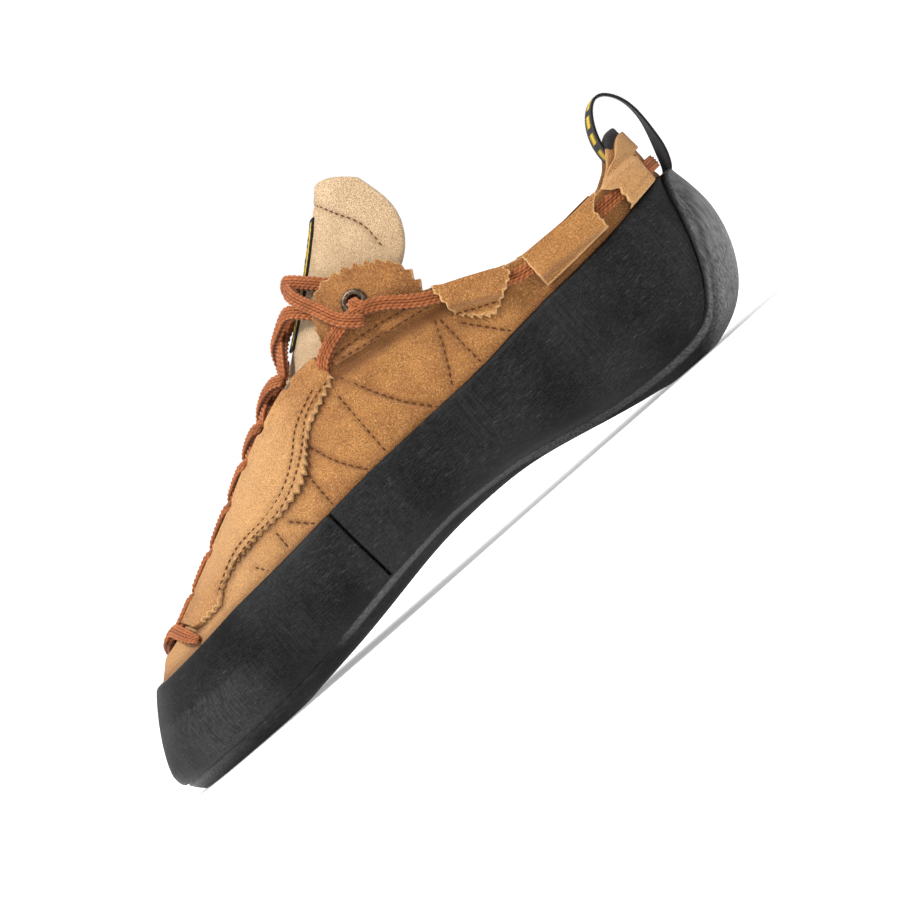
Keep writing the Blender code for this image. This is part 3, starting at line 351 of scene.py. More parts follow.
class Last:
    """The last that all pieces are laid on, as arrays of places and turns."""

    sample = 1e-4

    def __init__(self, sizes: LastSizes) -> None:
        """Fit the last's curves.

        Args:
            sizes: Driving sizes.
        """
        self.sizes = sizes
        rows = np.array(LAST)
        xs = rows[:, 0] * sizes.length
        self.rise = Curve(xs, rows[:, 3] * sizes.arch_rise)
        self.waist = Curve(xs, rows[:, 4] * sizes.rand_height)
        self.ridge = Curve(xs, rows[:, 5] * sizes.instep_height)
        self.spine = Curve(xs, rows[:, 6] * sizes.width)
        self.low_power = Curve(xs, rows[:, 7])
        self.high_power = Curve(xs, rows[:, 8])
        points = [(row[0] * sizes.length, -row[1] * sizes.width) for row in reversed(LAST)]
        points += [(row[0] * sizes.length, row[2] * sizes.width) for row in LAST[1:]]
        lengths = [0.0]
        for first, second in zip(points, points[1:]):
            lengths.append(lengths[-1] + math.dist(first, second))
        self.outline = Curve(lengths, points, closed=True)
        self.round = lengths[-1]
        self.toe_tip = lengths[len(LAST) - 1]
        self.toe_axis = sizes.toe_axis * sizes.length
        self.heel_axis = sizes.heel_axis * sizes.length
        self.blend = sizes.axis_blend * sizes.length
        self.shift = np.array(sizes.shift)

    def place_at(self, side: Array, x: Array) -> Array:
        """Return the places on the outline where a side passes x.

        Args:
            side: -1 for lateral or 1 for medial, one or many.
            x: Distance from the toe.

        Returns:
            Places along the outline.
        """
        x, side = np.broadcast_arrays(np.asarray(x, dtype=float), np.asarray(side))
        low = np.where(side < 0, 0.0, self.round)
        high = np.full(x.shape, self.toe_tip)
        for _ in range(36):
            middle = (low + high) / 2
            beyond = self.outline(middle)[..., 0] > x
            low, high = np.where(beyond, middle, low), np.where(beyond, high, middle)
        return (low + high) / 2

    def axis_x(self, x: Array) -> Array:
        """Return the spine's x for outline points at x.

        Args:
            x: Distance from the toe.

        Returns:
            x of the spine, which stops softly at the toe and the heel.
        """
        start, end = self.toe_axis - self.blend, self.heel_axis + self.blend
        toe = self.toe_axis + (x - start) ** 2 / (4 * self.blend)
        heel = self.heel_axis - (end - x) ** 2 / (4 * self.blend)
        value = np.where(x < self.toe_axis + self.blend, toe, x)
        value = np.where(x > self.heel_axis - self.blend, heel, value)
        value = np.where(x < start, self.toe_axis, value)
        return np.where(x > end, self.heel_axis, value)

    def edge_x(self, place: Array) -> Array:
        """Return the outline's x."""
        return self.outline(place)[..., 0]

    def rib(self, place: Array) -> tuple:
        """Return what a section needs.

        Args:
            place: Places along the outline.

        Returns:
            edge, axis, reach, waist, low, high, low power and high power.
        """
        edge = self.outline(place)
        x = edge[..., 0]
        axis_x = self.axis_x(x)
        axis = np.stack((axis_x, self.spine(axis_x)), axis=-1)
        reach = np.linalg.norm(edge - axis, axis=-1)
        low = self.rise(axis_x) + WALLS.sole + WALLS.rubber_gap
        return (
            edge, axis, reach, self.waist(x), low, self.ridge(axis_x), self.low_power(x),
            self.high_power(x),
        )

    @staticmethod
    def on_rib(rib: tuple, turn: Array) -> Array:
        """Return points of known ribs.

        Args:
            rib: What rib() returned.
            turn: -1 bottom middle, 0 widest, 1 ridge.

        Returns:
            Points of the last.
        """
        edge, axis, _, waist, low, high, low_power, high_power = rib
        power = np.where(turn > 0, high_power, low_power)
        angle = np.abs(turn) * math.pi / 2
        out = np.clip(np.cos(angle), 0, 1) ** (2 / power)
        up = np.clip(np.sin(angle), 0, 1) ** (2 / power)
        plan = axis + (edge - axis) * out[..., None]
        height = waist + (np.where(turn > 0, high, low) - waist) * up
        return np.concatenate((plan, height[..., None]), axis=-1)

    def point(self, place: Array, turn: Array) -> Array:
        """Return points of the last."""
        place, turn = np.broadcast_arrays(np.asarray(place, float), np.asarray(turn, float))
        return self.on_rib(self.rib(place), turn)

    def normal(self, place: Array, turn: Array) -> Array:
        """Return the last's outward normals.

        Args:
            place: Places along the outline.
            turn: -1 bottom middle, 0 widest, 1 ridge.

        Returns:
            Unit vectors.
        """
        place, turn = np.broadcast_arrays(np.asarray(place, float), np.asarray(turn, float))
        held = np.clip(turn, -0.94, 0.94)
        along = self.point(place + self.sample, held) - self.point(place - self.sample, held)
        rib = self.rib(place)
        up = self.on_rib(rib, held + 0.004) - self.on_rib(rib, held - 0.004)
        normal = unit(np.cross(up, along))
        middle = np.concatenate((rib[1], rib[3][..., None]), axis=-1)
        away = np.sum(normal * (self.on_rib(rib, held) - middle), axis=-1)
        normal = normal * np.where(away < 0, -1.0, 1.0)[..., None]
        x = rib[1][..., 0]
        above = turn > 0
        rise = (self.rise(x + self.sample) - self.rise(x - self.sample)) / (2 * self.sample)
        ridge = (self.ridge(x + self.sample) - self.ridge(x - self.sample)) / (2 * self.sample)
        flat = unit(np.stack(
            (np.where(above, -ridge, rise), np.zeros_like(x), np.where(above, 1.0, -1.0)), axis=-1
        ))
        share = np.clip((np.abs(turn) - 0.94) / 0.06, 0, 1)[..., None]
        normal = normal * (1 - share) + flat * share
        return unit(normal)

    def skin(self, place: Array, turn: Array, offset: Array) -> Array:
        """Return points moved out from the last, in the shared frame."""
        moved = self.normal(place, turn) * np.asarray(offset, float)[..., None]
        return self.point(place, turn) + moved + self.shift

    def turn_on(self, place: Array, line: Line, offset: float = 0.0) -> Array:
        """Return the turns where ribs meet a side line.

        Args:
            place: Places along the outline.
            line: Height as a function of x.
            offset: Distance of the face that meets the line.

        Returns:
            Turns.
        """
        place = np.asarray(place, float)
        low, high = np.full(place.shape, -0.995), np.full(place.shape, 0.995)
        rib = self.rib(place)
        for _ in range(26):
            middle = (low + high) / 2
            point = self.on_rib(rib, middle)
            if offset:
                point = point + self.normal(place, middle) * offset
            below = point[..., 2] < line(point[..., 0])
            low, high = np.where(below, middle, low), np.where(below, high, middle)
        return (low + high) / 2

    def turn_at_reach(self, place: Array, reach: Array, above: bool) -> Array:
        """Return the turns whose points lie reach from the spine in plan.

        Args:
            place: Places along the outline.
            reach: Distances from the spine.
            above: Whether on the upper or the lower half.

        Returns:
            Turns.
        """
        rib = self.rib(place)
        share = np.clip(reach / rib[2], 0, 1)
        power = rib[7] if above else rib[6]
        turn = np.arccos(share ** (power / 2)) / (math.pi / 2)
        return turn if above else -turn

    def pace(self, place: Array, turn: Array, step: float = 0.003) -> Array:
        """Return how many metres of surface one turn spans.

        Args:
            place: Places along the outline.
            turn: Turns where it is measured.
            step: Share of a turn that is measured.

        Returns:
            Lengths.
        """
        rib = self.rib(place)
        ahead = self.on_rib(rib, turn + step) - self.on_rib(rib, turn)
        return np.linalg.norm(ahead, axis=-1) / step

    def across(self, x: Array, reach: Array) -> tuple:
        """Return place and turn over the spine, reach to the medial side.

        Args:
            x: Distance from the toe.
            reach: Distance from the spine, positive to the medial side.

        Returns:
            Places and turns.
        """
        side = np.where(np.asarray(reach) > 0, 1, -1)
        place = self.place_at(side, x)
        return place, self.turn_at_reach(place, np.abs(reach), True)

    def at_height(self, side: Array, x: Array, height: Array) -> tuple:
        """Return place and turn on one side at x and height."""
        place = self.place_at(side, x)
        return place, self.turn_on(place, lambda _x: height)


@dataclass
class Grid:
    """Places and turns of a patch in columns and rows, with distances to its edges."""

    last: Last
    place: Array
    turn: Array
    point: Array = field(init=False)
    low: Array = field(init=False)
    high: Array = field(init=False)
    start: Array = field(init=False)
    end: Array = field(init=False)

    def __post_init__(self) -> None:
        """Measure the patch on the last."""
        self.point = self.last.point(self.place, self.turn)
        rows = np.linalg.norm(np.diff(self.point, axis=1), axis=-1)
        columns = np.linalg.norm(np.diff(self.point, axis=0), axis=-1)
        self.low = np.concatenate((np.zeros((len(rows), 1)), np.cumsum(rows, axis=1)), axis=1)
        self.high = self.low[:, -1:] - self.low
        zero = np.zeros((1, columns.shape[1]))
        self.start = np.concatenate((zero, np.cumsum(columns, axis=0)), axis=0)
        self.end = self.start[-1:] - self.start

    @property
    def x(self) -> Array:
        """Return x in the last's frame."""
        return self.point[..., 0]

    @property
    def z(self) -> Array:
        """Return the height."""
        return self.point[..., 2]

    def round_off(self, low: float, high: float, ends: float) -> Array:
        """Return the share of the full wall near the edges.

        Args:
            low: Radius at the lower edge, 0 for none.
            high: Radius at the upper edge, 0 for none.
            ends: Radius at both ends, 0 for none.

        Returns:
            Shares from 0 to 1.
        """
        share = np.ones(self.x.shape)
        for distance, radius in (
            (self.low, low), (self.high, high), (self.start, ends), (self.end, ends),
        ):
            if radius:
                share = np.minimum(share, rounded(distance, radius))
        return share


def nearest(grid: Grid, routes: Sequence) -> Array:
    """Return the distance from a grid's points to the nearest of several routes."""
    return np.minimum.reduce([polyline_distance(grid.x, grid.z, route) for route in routes])


def spread(count: int, low: float, high: float, length: float) -> Array:
    """Return shares from 0 to 1 that crowd near rounded edges.

    Args:
        count: Steps between the edges.
        low: Radius at 0, or 0 for none.
        high: Radius at 1, or 0 for none.
        length: Usual length from 0 to 1.

    Returns:
        Rising shares.
    """
    steps = np.array((0.0, 0.05, 0.2, 0.5, 1.0))
    first = steps * low if low else np.zeros(1)
    last = length - steps[::-1] * high if high else np.array((length,))
    inner = np.linspace(first[-1], last[0], count + 1)[1:-1]
    return np.concatenate((first, inner, last)) / length


class Patches:
    """Maker of fine walled patches on the last."""

    def __init__(self, last: Last) -> None:
        """Keep the last."""
        self.last = last

    def grid(self, places: Array, low: Array, high: Array, shares: Array) -> Grid:
        """Return a grid between two edges."""
        return self.laid(places, low[:, None] + (high - low)[:, None] * shares[None, :])

    def laid(self, places: Array, turn: Array) -> Grid:
        """Return the grid of column places and their rows of turns."""
        return Grid(self.last, np.repeat(places[:, None], turn.shape[1], axis=1), turn)

    def slid(self, grid: Grid, shift: Array) -> Grid:
        """Return a grid whose points are moved along x.

        Args:
            grid: The grid.
            shift: Distance along x at every point.

        Returns:
            A new grid.
        """
        side = np.where(np.mod(grid.place, self.last.round) < self.last.toe_tip, -1, 1)
        moved = self.last.place_at(side, self.last.edge_x(grid.place) + shift)
        return Grid(self.last, moved, grid.turn)

    def shell(self, name: str, grid: Grid, outer: Array, inner: Array, marks: dict,
              settle: Optional[Callable] = None) -> bpy.types.Object:
        """Make a walled piece from a grid.

        Args:
            name: Name of the piece.
            grid: Places and turns.
            outer: Outer offset at every point.
            inner: Inner offset at every point, equal to outer on edges that close.
            marks: Named shares at every point, kept as attributes.
            settle: Function that adjusts the finished points.

        Returns:
            The new object.
        """
        columns, rows = grid.place.shape
        layers = [self.last.skin(grid.place, grid.turn, offset) for offset in (outer, inner)]
        return self.sheets(name, layers, columns, rows, marks, settle)

    @staticmethod
    def sheets(
        name: str, layers: Sequence, columns: int, rows: int, marks: dict,
        settle: Optional[Callable] = None,
    ) -> bpy.types.Object:
        """Make an object from layers of points in columns and rows.

        Args:
            name: Name of the piece.
            layers: Point arrays of columns by rows; the second one faces inwards.
            columns: Number of columns.
            rows: Number of rows.
            marks: Named shares at every point.
            settle: Function that adjusts the points.

        Returns:
            The new object.
        """
        build = bmesh.new()
        for _ in layers:
            bmesh.ops.create_grid(build, x_segments=columns - 1, y_segments=rows - 1, size=0.5)
        mesh = mesh_of(name, build)
        flat = np.empty(len(mesh.vertices) * 3)
        mesh.vertices.foreach_get("co", flat)
        flat = flat.reshape(-1, 3)
        i = np.rint((flat[:, 0] + 0.5) * (columns - 1)).astype(int)
        j = np.rint((flat[:, 1] + 0.5) * (rows - 1)).astype(int)
        layer = np.arange(len(flat)) // (columns * rows)
        points = np.stack(layers)[layer, i, j]
        if settle is not None:
            points = settle(points)
        mesh.vertices.foreach_set("co", points.ravel())
        for key, values in marks.items():
            attribute = mesh.attributes.new(key, "FLOAT", "POINT")
            attribute.data.foreach_set("value", np.asarray(values, float)[i, j])
        inside = np.arange(len(mesh.polygons)) // ((columns - 1) * (rows - 1))
        mesh.polygons.foreach_set("material_index", inside)
        return close_mesh(name, mesh)


def mesh_of(name: str, build: bmesh.types.BMesh) -> bpy.types.Mesh:
    """Return a new mesh of what was built.

    Args:
        name: Name of the mesh.
        build: What was built, freed here.

    Returns:
        The mesh.
    """
    mesh = bpy.data.meshes.new(name)
    build.to_mesh(mesh)
    build.free()
    return mesh


def new_object(name: str, data: bpy.types.ID) -> bpy.types.Object:
    """Make an object of the scene.

    Args:
        name: Name of the object.
        data: Its mesh, lamp or camera.

    Returns:
        The new object.
    """
    made = bpy.data.objects.new(name, data)
    bpy.context.scene.collection.objects.link(made)
    return made


def close_mesh(name: str, mesh: bpy.types.Mesh) -> bpy.types.Object:
    """Weld a mesh, turn its faces outwards and make it an object.

    Args:
        name: Name of the piece.
        mesh: Mesh with its points in place.

    Returns:
        The new object.
    """
    build = bmesh.new()
    build.from_mesh(mesh)
    bmesh.ops.remove_doubles(build, verts=build.verts[:], dist=WELD)
    bmesh.ops.dissolve_degenerate(build, edges=build.edges[:], dist=1e-6)
    bmesh.ops.recalc_face_normals(build, faces=build.faces[:])
    if build.calc_volume(signed=True) < 0:
        bmesh.ops.reverse_faces(build, faces=build.faces[:])
    build.to_mesh(mesh)
    build.free()
    mesh.shade_smooth()
    return link_piece(name, mesh)


def link_piece(name: str, mesh: bpy.types.Mesh) -> bpy.types.Object:
    """Make a mesh an object of the scene that rides on the shoe.

    Args:
        name: Name of the piece.
        mesh: Its mesh.

    Returns:
        The new object.
    """
    piece = new_object(name, mesh)
    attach(piece, "root")
    return piece


def dress(piece: bpy.types.Object, slot: str, *materials: bpy.types.Material) -> None:
    """Give a piece its materials.

    Args:
        piece: The piece.
        slot: Not used.
        materials: Outer material, and inner material where it differs.
    """
    for material in materials:
        piece.data.materials.append(material)
    if len(materials) == 1:
        piece.data.polygons.foreach_set("material_index", [0] * len(piece.data.polygons))


def stand_for(piece: bpy.types.Object, *nodes: str) -> bpy.types.Object:
    """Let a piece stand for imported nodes.

    Args:
        piece: The piece.
        nodes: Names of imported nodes.

    Returns:
        The piece.
    """
    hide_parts(*nodes)
    LOG.info("%s: %d faces, stands for %s", piece.name, len(piece.data.polygons), ", ".join(nodes))
    return piece


class Nodes:
    """Short way to write a material's node tree."""

    def __init__(self, name: str) -> None:
        """Start a material.

        Args:
            name: Name of the material.
        """
        self.material = bpy.data.materials.new(name)
        self.material.use_nodes = True
        self.tree = self.material.node_tree
        self.shader = self.tree.nodes["Principled BSDF"]
        self.object = self.tree.nodes.new("ShaderNodeTexCoord").outputs["Object"]

    def put(self, socket: bpy.types.NodeSocket, value: object) -> None:
        """Link or set a socket.

        Args:
            socket: Input socket.
            value: Output socket, number or tuple.
        """
        if isinstance(value, bpy.types.NodeSocket):
            self.tree.links.new(value, socket)
        else:
            socket.default_value = value

    def node(self, kind: str, **inputs: object) -> bpy.types.Node:
        """Add a node and fill its inputs.

        Args:
            kind: Type of the node.
            inputs: Values or sockets by input name, with underscores for spaces.

        Returns:
            The node.
        """
        node = self.tree.nodes.new(kind)
        for key, value in inputs.items():
            self.put(node.inputs[key.replace("_", " ")], value)
        return node

    def set(self, **inputs: object) -> None:
        """Set inputs of the Principled shader, with underscores for spaces."""
        for key, value in inputs.items():
            self.put(self.shader.inputs[key.replace("_", " ").title().replace("Ior", "IOR")], value)

    def mark(self, name: str) -> bpy.types.NodeSocket:
        """Return an attribute's share.

        Args:
            name: Name of the attribute.

        Returns:
            Output socket.
        """
        node = self.tree.nodes.new("ShaderNodeAttribute")
        node.attribute_name = name
        return node.outputs["Fac"]

    def stretched(self, vector: bpy.types.NodeSocket, scale: tuple) -> bpy.types.NodeSocket:
        """Return coordinates stretched by a factor along each axis."""
        return self.node("ShaderNodeMapping", Vector=vector, Scale=scale).outputs["Vector"]

    def noise(self, scale: float, detail: float, rough: float,
              vector: Optional[bpy.types.NodeSocket] = None) -> bpy.types.NodeSocket:
        """Return a noise.

        Args:
            scale: Cells for each metre.
            detail: Octaves.
            rough: Share of the finer octaves.
            vector: Coordinates, the object's by default.

        Returns:
            Output socket.
        """
        node = self.node("ShaderNodeTexNoise", Vector=vector or self.object, Scale=scale,
                         Detail=detail, Roughness=rough)
        return node.outputs["Fac"]

    def sum(self, kind: str, first: object, second: object = 0.0, clamp: bool = False) -> object:
        """Return a sum of two values.

        Args:
            kind: Operation of the Math node.
            first: First value or socket.
            second: Second value or socket.
            clamp: Whether the result is held between 0 and 1.

        Returns:
            Output socket.
        """
        node = self.tree.nodes.new("ShaderNodeMath")
        node.operation = kind
        node.use_clamp = clamp
        self.put(node.inputs[0], first)
        self.put(node.inputs[1], second)
        return node.outputs[0]

    def ranged(self, value: object, low: float, high: float, to_low: float = 0.0,
               to_high: float = 1.0) -> object:
        """Return a value mapped from one range to another, held at its ends.

        Args:
            value: Socket.
            low: Start of the range.
            high: End of the range.
            to_low: Result at the start.
            to_high: Result at the end.

        Returns:
            Output socket.
        """
        node = self.node("ShaderNodeMapRange", Value=value, From_Min=low, From_Max=high,
                         To_Min=to_low, To_Max=to_high)
        node.interpolation_type = "SMOOTHSTEP"
        return node.outputs["Result"]

    def mix(self, share: object, first: object, second: object) -> object:
        """Return a mix of two colours.

        Args:
            share: Share of the second colour.
            first: Colour or socket.
            second: Colour or socket.

        Returns:
            Output socket.
        """
        node = self.tree.nodes.new("ShaderNodeMix")
        node.data_type = "RGBA"
        self.put(node.inputs["Factor"], share)
        self.put(node.inputs[6], first)
        self.put(node.inputs[7], second)
        return node.outputs[2]

    def bump(self, height: object, distance: float, strength: float = 1.0,
             normal: Optional[object] = None) -> object:
        """Return a bumped normal.

        Args:
            height: Height socket.
            distance: Height of the relief in metres.
            strength: Share of the relief.
            normal: Normal to add to.

        Returns:
            Output socket.
        """
        node = self.node("ShaderNodeBump", Height=height, Distance=distance, Strength=strength)
        if normal is not None:
            self.put(node.inputs["Normal"], normal)
        return node.outputs["Normal"]


def rgb(red: float, green: float, blue: float) -> tuple:
    """Return a linear colour from display values.

    Args:
        red: 0 to 255.
        green: 0 to 255.
        blue: 0 to 255.

    Returns:
        Linear red, green, blue and alpha.
    """
    linear = []
    for value in (red, green, blue):
        share = value / 255
        linear.append(share / 12.92 if share < 0.04045 else ((share + 0.055) / 1.055) ** 2.4)
    return (*linear, 1.0)


@dataclass(frozen=True)
class SuedeFinish:
    """Colours and nap of a napped leather."""

    name: str
    bright: tuple
    dark: tuple
    cut: tuple
    # Dark colour of the specks and of the painted shade
    dirt: tuple
    nap: float = 0.00100
    binding: float = 0.62

    def material(self) -> bpy.types.Material:
        """Return the leather's material.

        Returns:
            Material that reads the marks shade, cut and binding.
        """
        n = Nodes(self.name)
        cloud = n.noise(38, 4, 0.6)
        patch = n.noise(150, 4, 0.6)
        grain = n.noise(2100, 3, 0.6)
        speck = n.noise(3000, 3, 0.66)
        tone = n.sum("ADD", n.sum("MULTIPLY", cloud, 0.50), n.sum("MULTIPLY", patch, 0.30))
        tone = n.sum("ADD", tone, n.sum("MULTIPLY", grain, 0.20))
        colour = n.mix(n.ranged(tone, 0.38, 0.62), self.dark, self.bright)
        # The cut mark paints pale cut edges, and paler nap that carries a painted highlight on the vamp
        # and the front eyestays
        colour = n.mix(n.mark("cut"), colour, self.cut)
        colour = n.mix(n.ranged(speck, 0.32, 0.54, 0.80, 0.0), colour, self.dirt)
        colour = n.mix(n.ranged(grain, 0.48, 0.66, 0.0, 0.42), colour, self.cut)
        # Painted shade: the shade mark pulls the colour towards the dark speck colour, broken up by the
        # grain
        dirt = n.sum("MULTIPLY", n.mark("shade"), n.ranged(grain, 0.3, 0.7, 0.80, 1.0), True)
        colour = n.mix(dirt, colour, self.dirt)
        bound = n.ranged(n.mark("binding"), self.binding, self.binding + 0.05)
        colour = n.mix(bound, colour, rgb(20, 18, 17))
        relief = n.bump(grain, self.nap, 1.0)
        relief = n.bump(speck, self.nap * 0.5, 0.9, relief)
        rough = n.ranged(patch, 0.3, 0.7, 0.82, 0.97)
        n.set(base_color=colour, roughness=rough, normal=relief, sheen_weight=0.12,
              sheen_roughness=0.5, specular_ior_level=0.12)
        return n.material


@dataclass(frozen=True)
class RubberFinish:
    """Smooth shoe rubber with brush marks, scuffs and painted sheen."""

    name: str
    base: tuple
    soft: tuple
    # Light grey of the scuffs and of the painted sheen
    worn: tuple
    gloss: float = 0.46

    def material(self) -> bpy.types.Material:
        """Return the rubber's material.

        Returns:
            Material that reads the marks wear and shade; the wear mark also carries painted sheen.
        """
        n = Nodes(self.name)
        cloud = n.noise(45, 4, 0.6)
        brushed = n.noise(1.0, 4, 0.65, n.stretched(n.object, (420, 700, 2600)))
        upright = n.noise(1.0, 4, 0.65, n.stretched(n.object, (1500, 1500, 60)))
        grain = n.noise(3200, 3, 0.6)
        tone = n.sum("ADD", n.sum("MULTIPLY", cloud, 0.25), n.sum("MULTIPLY", brushed, 0.30))
        tone = n.sum("ADD", tone, n.sum("MULTIPLY", grain, 0.45))
        colour = n.mix(n.ranged(tone, 0.42, 0.60), self.base, self.soft)
        scuff = n.ranged(brushed, 0.58, 0.72, 0.0, 0.35)
        colour = n.mix(n.sum("MULTIPLY", scuff, n.ranged(cloud, 0.4, 0.6)), colour, self.worn)
        # Painted sheen and scuffs: the mark lightens the rubber, striped by the upright noise
        wear = n.sum("MULTIPLY", n.mark("wear"), n.ranged(upright, 0.34, 0.66, 0.25, 1.0), True)
        colour = n.mix(wear, colour, self.worn)
        colour = n.mix(n.mark("shade"), colour, (0.004, 0.004, 0.004, 1.0))
        relief = n.bump(brushed, 0.00012, 0.5)
        relief = n.bump(grain, 0.00009, 0.7, relief)
        striped = n.sum("MULTIPLY", upright, n.mark("wear"))
        relief = n.bump(striped, 0.00025, 0.6, relief)
        rough = n.sum("ADD", n.ranged(brushed, 0.3, 0.7, -0.06, 0.10), self.gloss)
        n.set(base_color=colour, roughness=rough, normal=relief, specular_ior_level=0.06)
        return n.material


@dataclass(frozen=True)
class ClothFinish:
    """Braid, webbing or board cloth."""

    name: str
    base: tuple
    dark: tuple
    light: tuple
    fleck: float = 2200.0

    def material(self) -> bpy.types.Material:
        """Return the cloth's material.

        Returns:
            Material that reads the marks groove and stripe.
        """
        n = Nodes(self.name)
        thread = n.noise(self.fleck, 3, 0.65)
        cloud = n.noise(120, 3, 0.6)
        colour = n.mix(n.ranged(thread, 0.35, 0.7, 0.0, 0.6), self.base, self.light)
        colour = n.mix(n.ranged(cloud, 0.4, 0.7, 0.0, 0.35), colour, self.dark)
        # The groove mark paints shade into the braid's grooves and the weave's dips, and a dark line on
        # the insole
        colour = n.mix(n.mark("groove"), colour, self.dark)
        colour = n.mix(n.mark("stripe"), colour, rgb(206, 172, 26))
        relief = n.bump(thread, 0.00018, 0.8)
        n.set(base_color=colour, roughness=0.88, normal=relief, sheen_weight=0.08,
              specular_ior_level=0.12)
        return n.material


@dataclass(frozen=True)
class MetalFinish:
    """Dark eyelet metal."""

    name: str

    def material(self) -> bpy.types.Material:
        """Return the metal's material."""
        n = Nodes(self.name)
        scratch = n.noise(1.0, 3, 0.6, n.stretched(n.object, (2500, 900, 900)))
        colour = n.mix(n.ranged(scratch, 0.45, 0.75), rgb(62, 50, 42), rgb(130, 112, 92))
        rough = n.ranged(scratch, 0.3, 0.7, 0.28, 0.5)
        n.set(base_color=colour, roughness=rough, metallic=0.9, normal=n.bump(scratch, 0.00004))
        return n.material


@dataclass(frozen=True)
class Finishes:
    """All materials of the shoe."""

    suede: bpy.types.Material
    flap: bpy.types.Material
    lining: bpy.types.Material
    tongue: bpy.types.Material
    rubber: bpy.types.Material
    strip: bpy.types.Material
    lace: bpy.types.Material
    webbing: bpy.types.Material
    board: bpy.types.Material
    thread: bpy.types.Material
    metal: bpy.types.Material

    @staticmethod
    def make() -> "Finishes":
        """Make the materials.

        Returns:
            The set of materials.
        """
        tan = SuedeFinish("suede", rgb(179, 123, 65), rgb(152, 98, 46), rgb(226, 176, 116),
                          rgb(98, 54, 20))
        flap = SuedeFinish("flap_suede", rgb(170, 112, 56), rgb(140, 86, 38), rgb(208, 160, 104),
                           rgb(72, 36, 13))
        lining = SuedeFinish("lining", rgb(176, 128, 78), rgb(146, 100, 56), rgb(190, 148, 98),
                             rgb(40, 26, 16), binding=0.35)
        pale = SuedeFinish("pale_suede", rgb(210, 179, 141), rgb(188, 157, 119),
                           rgb(230, 206, 174), rgb(140, 108, 76))
        rubber = RubberFinish("rubber", rgb(6, 6, 7), rgb(33, 33, 34), rgb(84, 84, 85))
        strip = RubberFinish("sole_rubber", rgb(9, 9, 10), rgb(48, 48, 49), rgb(108, 108, 108))
        lace = ClothFinish("lace_braid", rgb(146, 78, 38), rgb(60, 26, 11), rgb(206, 136, 88))
        webbing = ClothFinish("webbing", rgb(20, 19, 20), rgb(8, 8, 9), rgb(48, 46, 46))
        board = ClothFinish("board_cloth", rgb(120, 96, 70), rgb(86, 64, 44), rgb(146, 122, 94))
        thread = ClothFinish("thread", rgb(70, 36, 16), rgb(34, 16, 8), rgb(104, 60, 30), 4000.0)
        return Finishes(
            tan.material(), flap.material(), lining.material(), pale.material(),
            rubber.material(), strip.material(), lace.material(), webbing.material(),
            board.material(), thread.material(), MetalFinish("metal").material(),
        )


# Details of the side view, in millimetres: x from the rubber's tip, height over the floor
QUARTER_SEAMS = (
    ((117, 66), (117, 43)), ((121, 70), (127, 58), (132, 50), (138, 43)),
    ((100, 60), (103, 52), (109, 43)), ((155, 64), (150, 53), (145, 44)), ((156, 63), (157, 44)),
    ((94, 54), (94, 41)), ((160, 58), (170, 46)), ((80, 47), (86, 41)), ((75, 47), (75, 40)),
    ((63, 43), (66, 39)),
)
EYESTAY_STITCHES = (
    ((50, 41), (60, 46.5), (70, 49), (80, 50), (88, 53), (95, 57.5), (100, 61.5), (105, 66),
     (118, 70.5)),
    ((50, 43), (58, 47.5), (65, 50), (75, 51), (88, 55.5), (95, 60.5), (100, 65), (105, 68),
     (112, 71)),
)
FLAP_STITCHES = (((124, 75.0), (137, 74), (150, 71.8)), ((125, 73), (140, 70.4), (157, 67.5)))
FRONT_TUNNEL_STITCHES = (
    ((159, 61.6), (166, 58.2), (173.5, 55)), ((160.5, 63.2), (167, 60), (174, 57)),
)
REAR_TUNNEL_STITCHES = (((189, 51), (200, 50.3), (211, 50.2)),)
TAB_STITCHES = (((234.2, 62), (234.4, 58)), ((223.5, 52.6), (231, 54)))
TONGUE_STITCHES = (((148, 117.5), (150, 114.3), (151.7, 111), (156.5, 102), (157, 91)),)


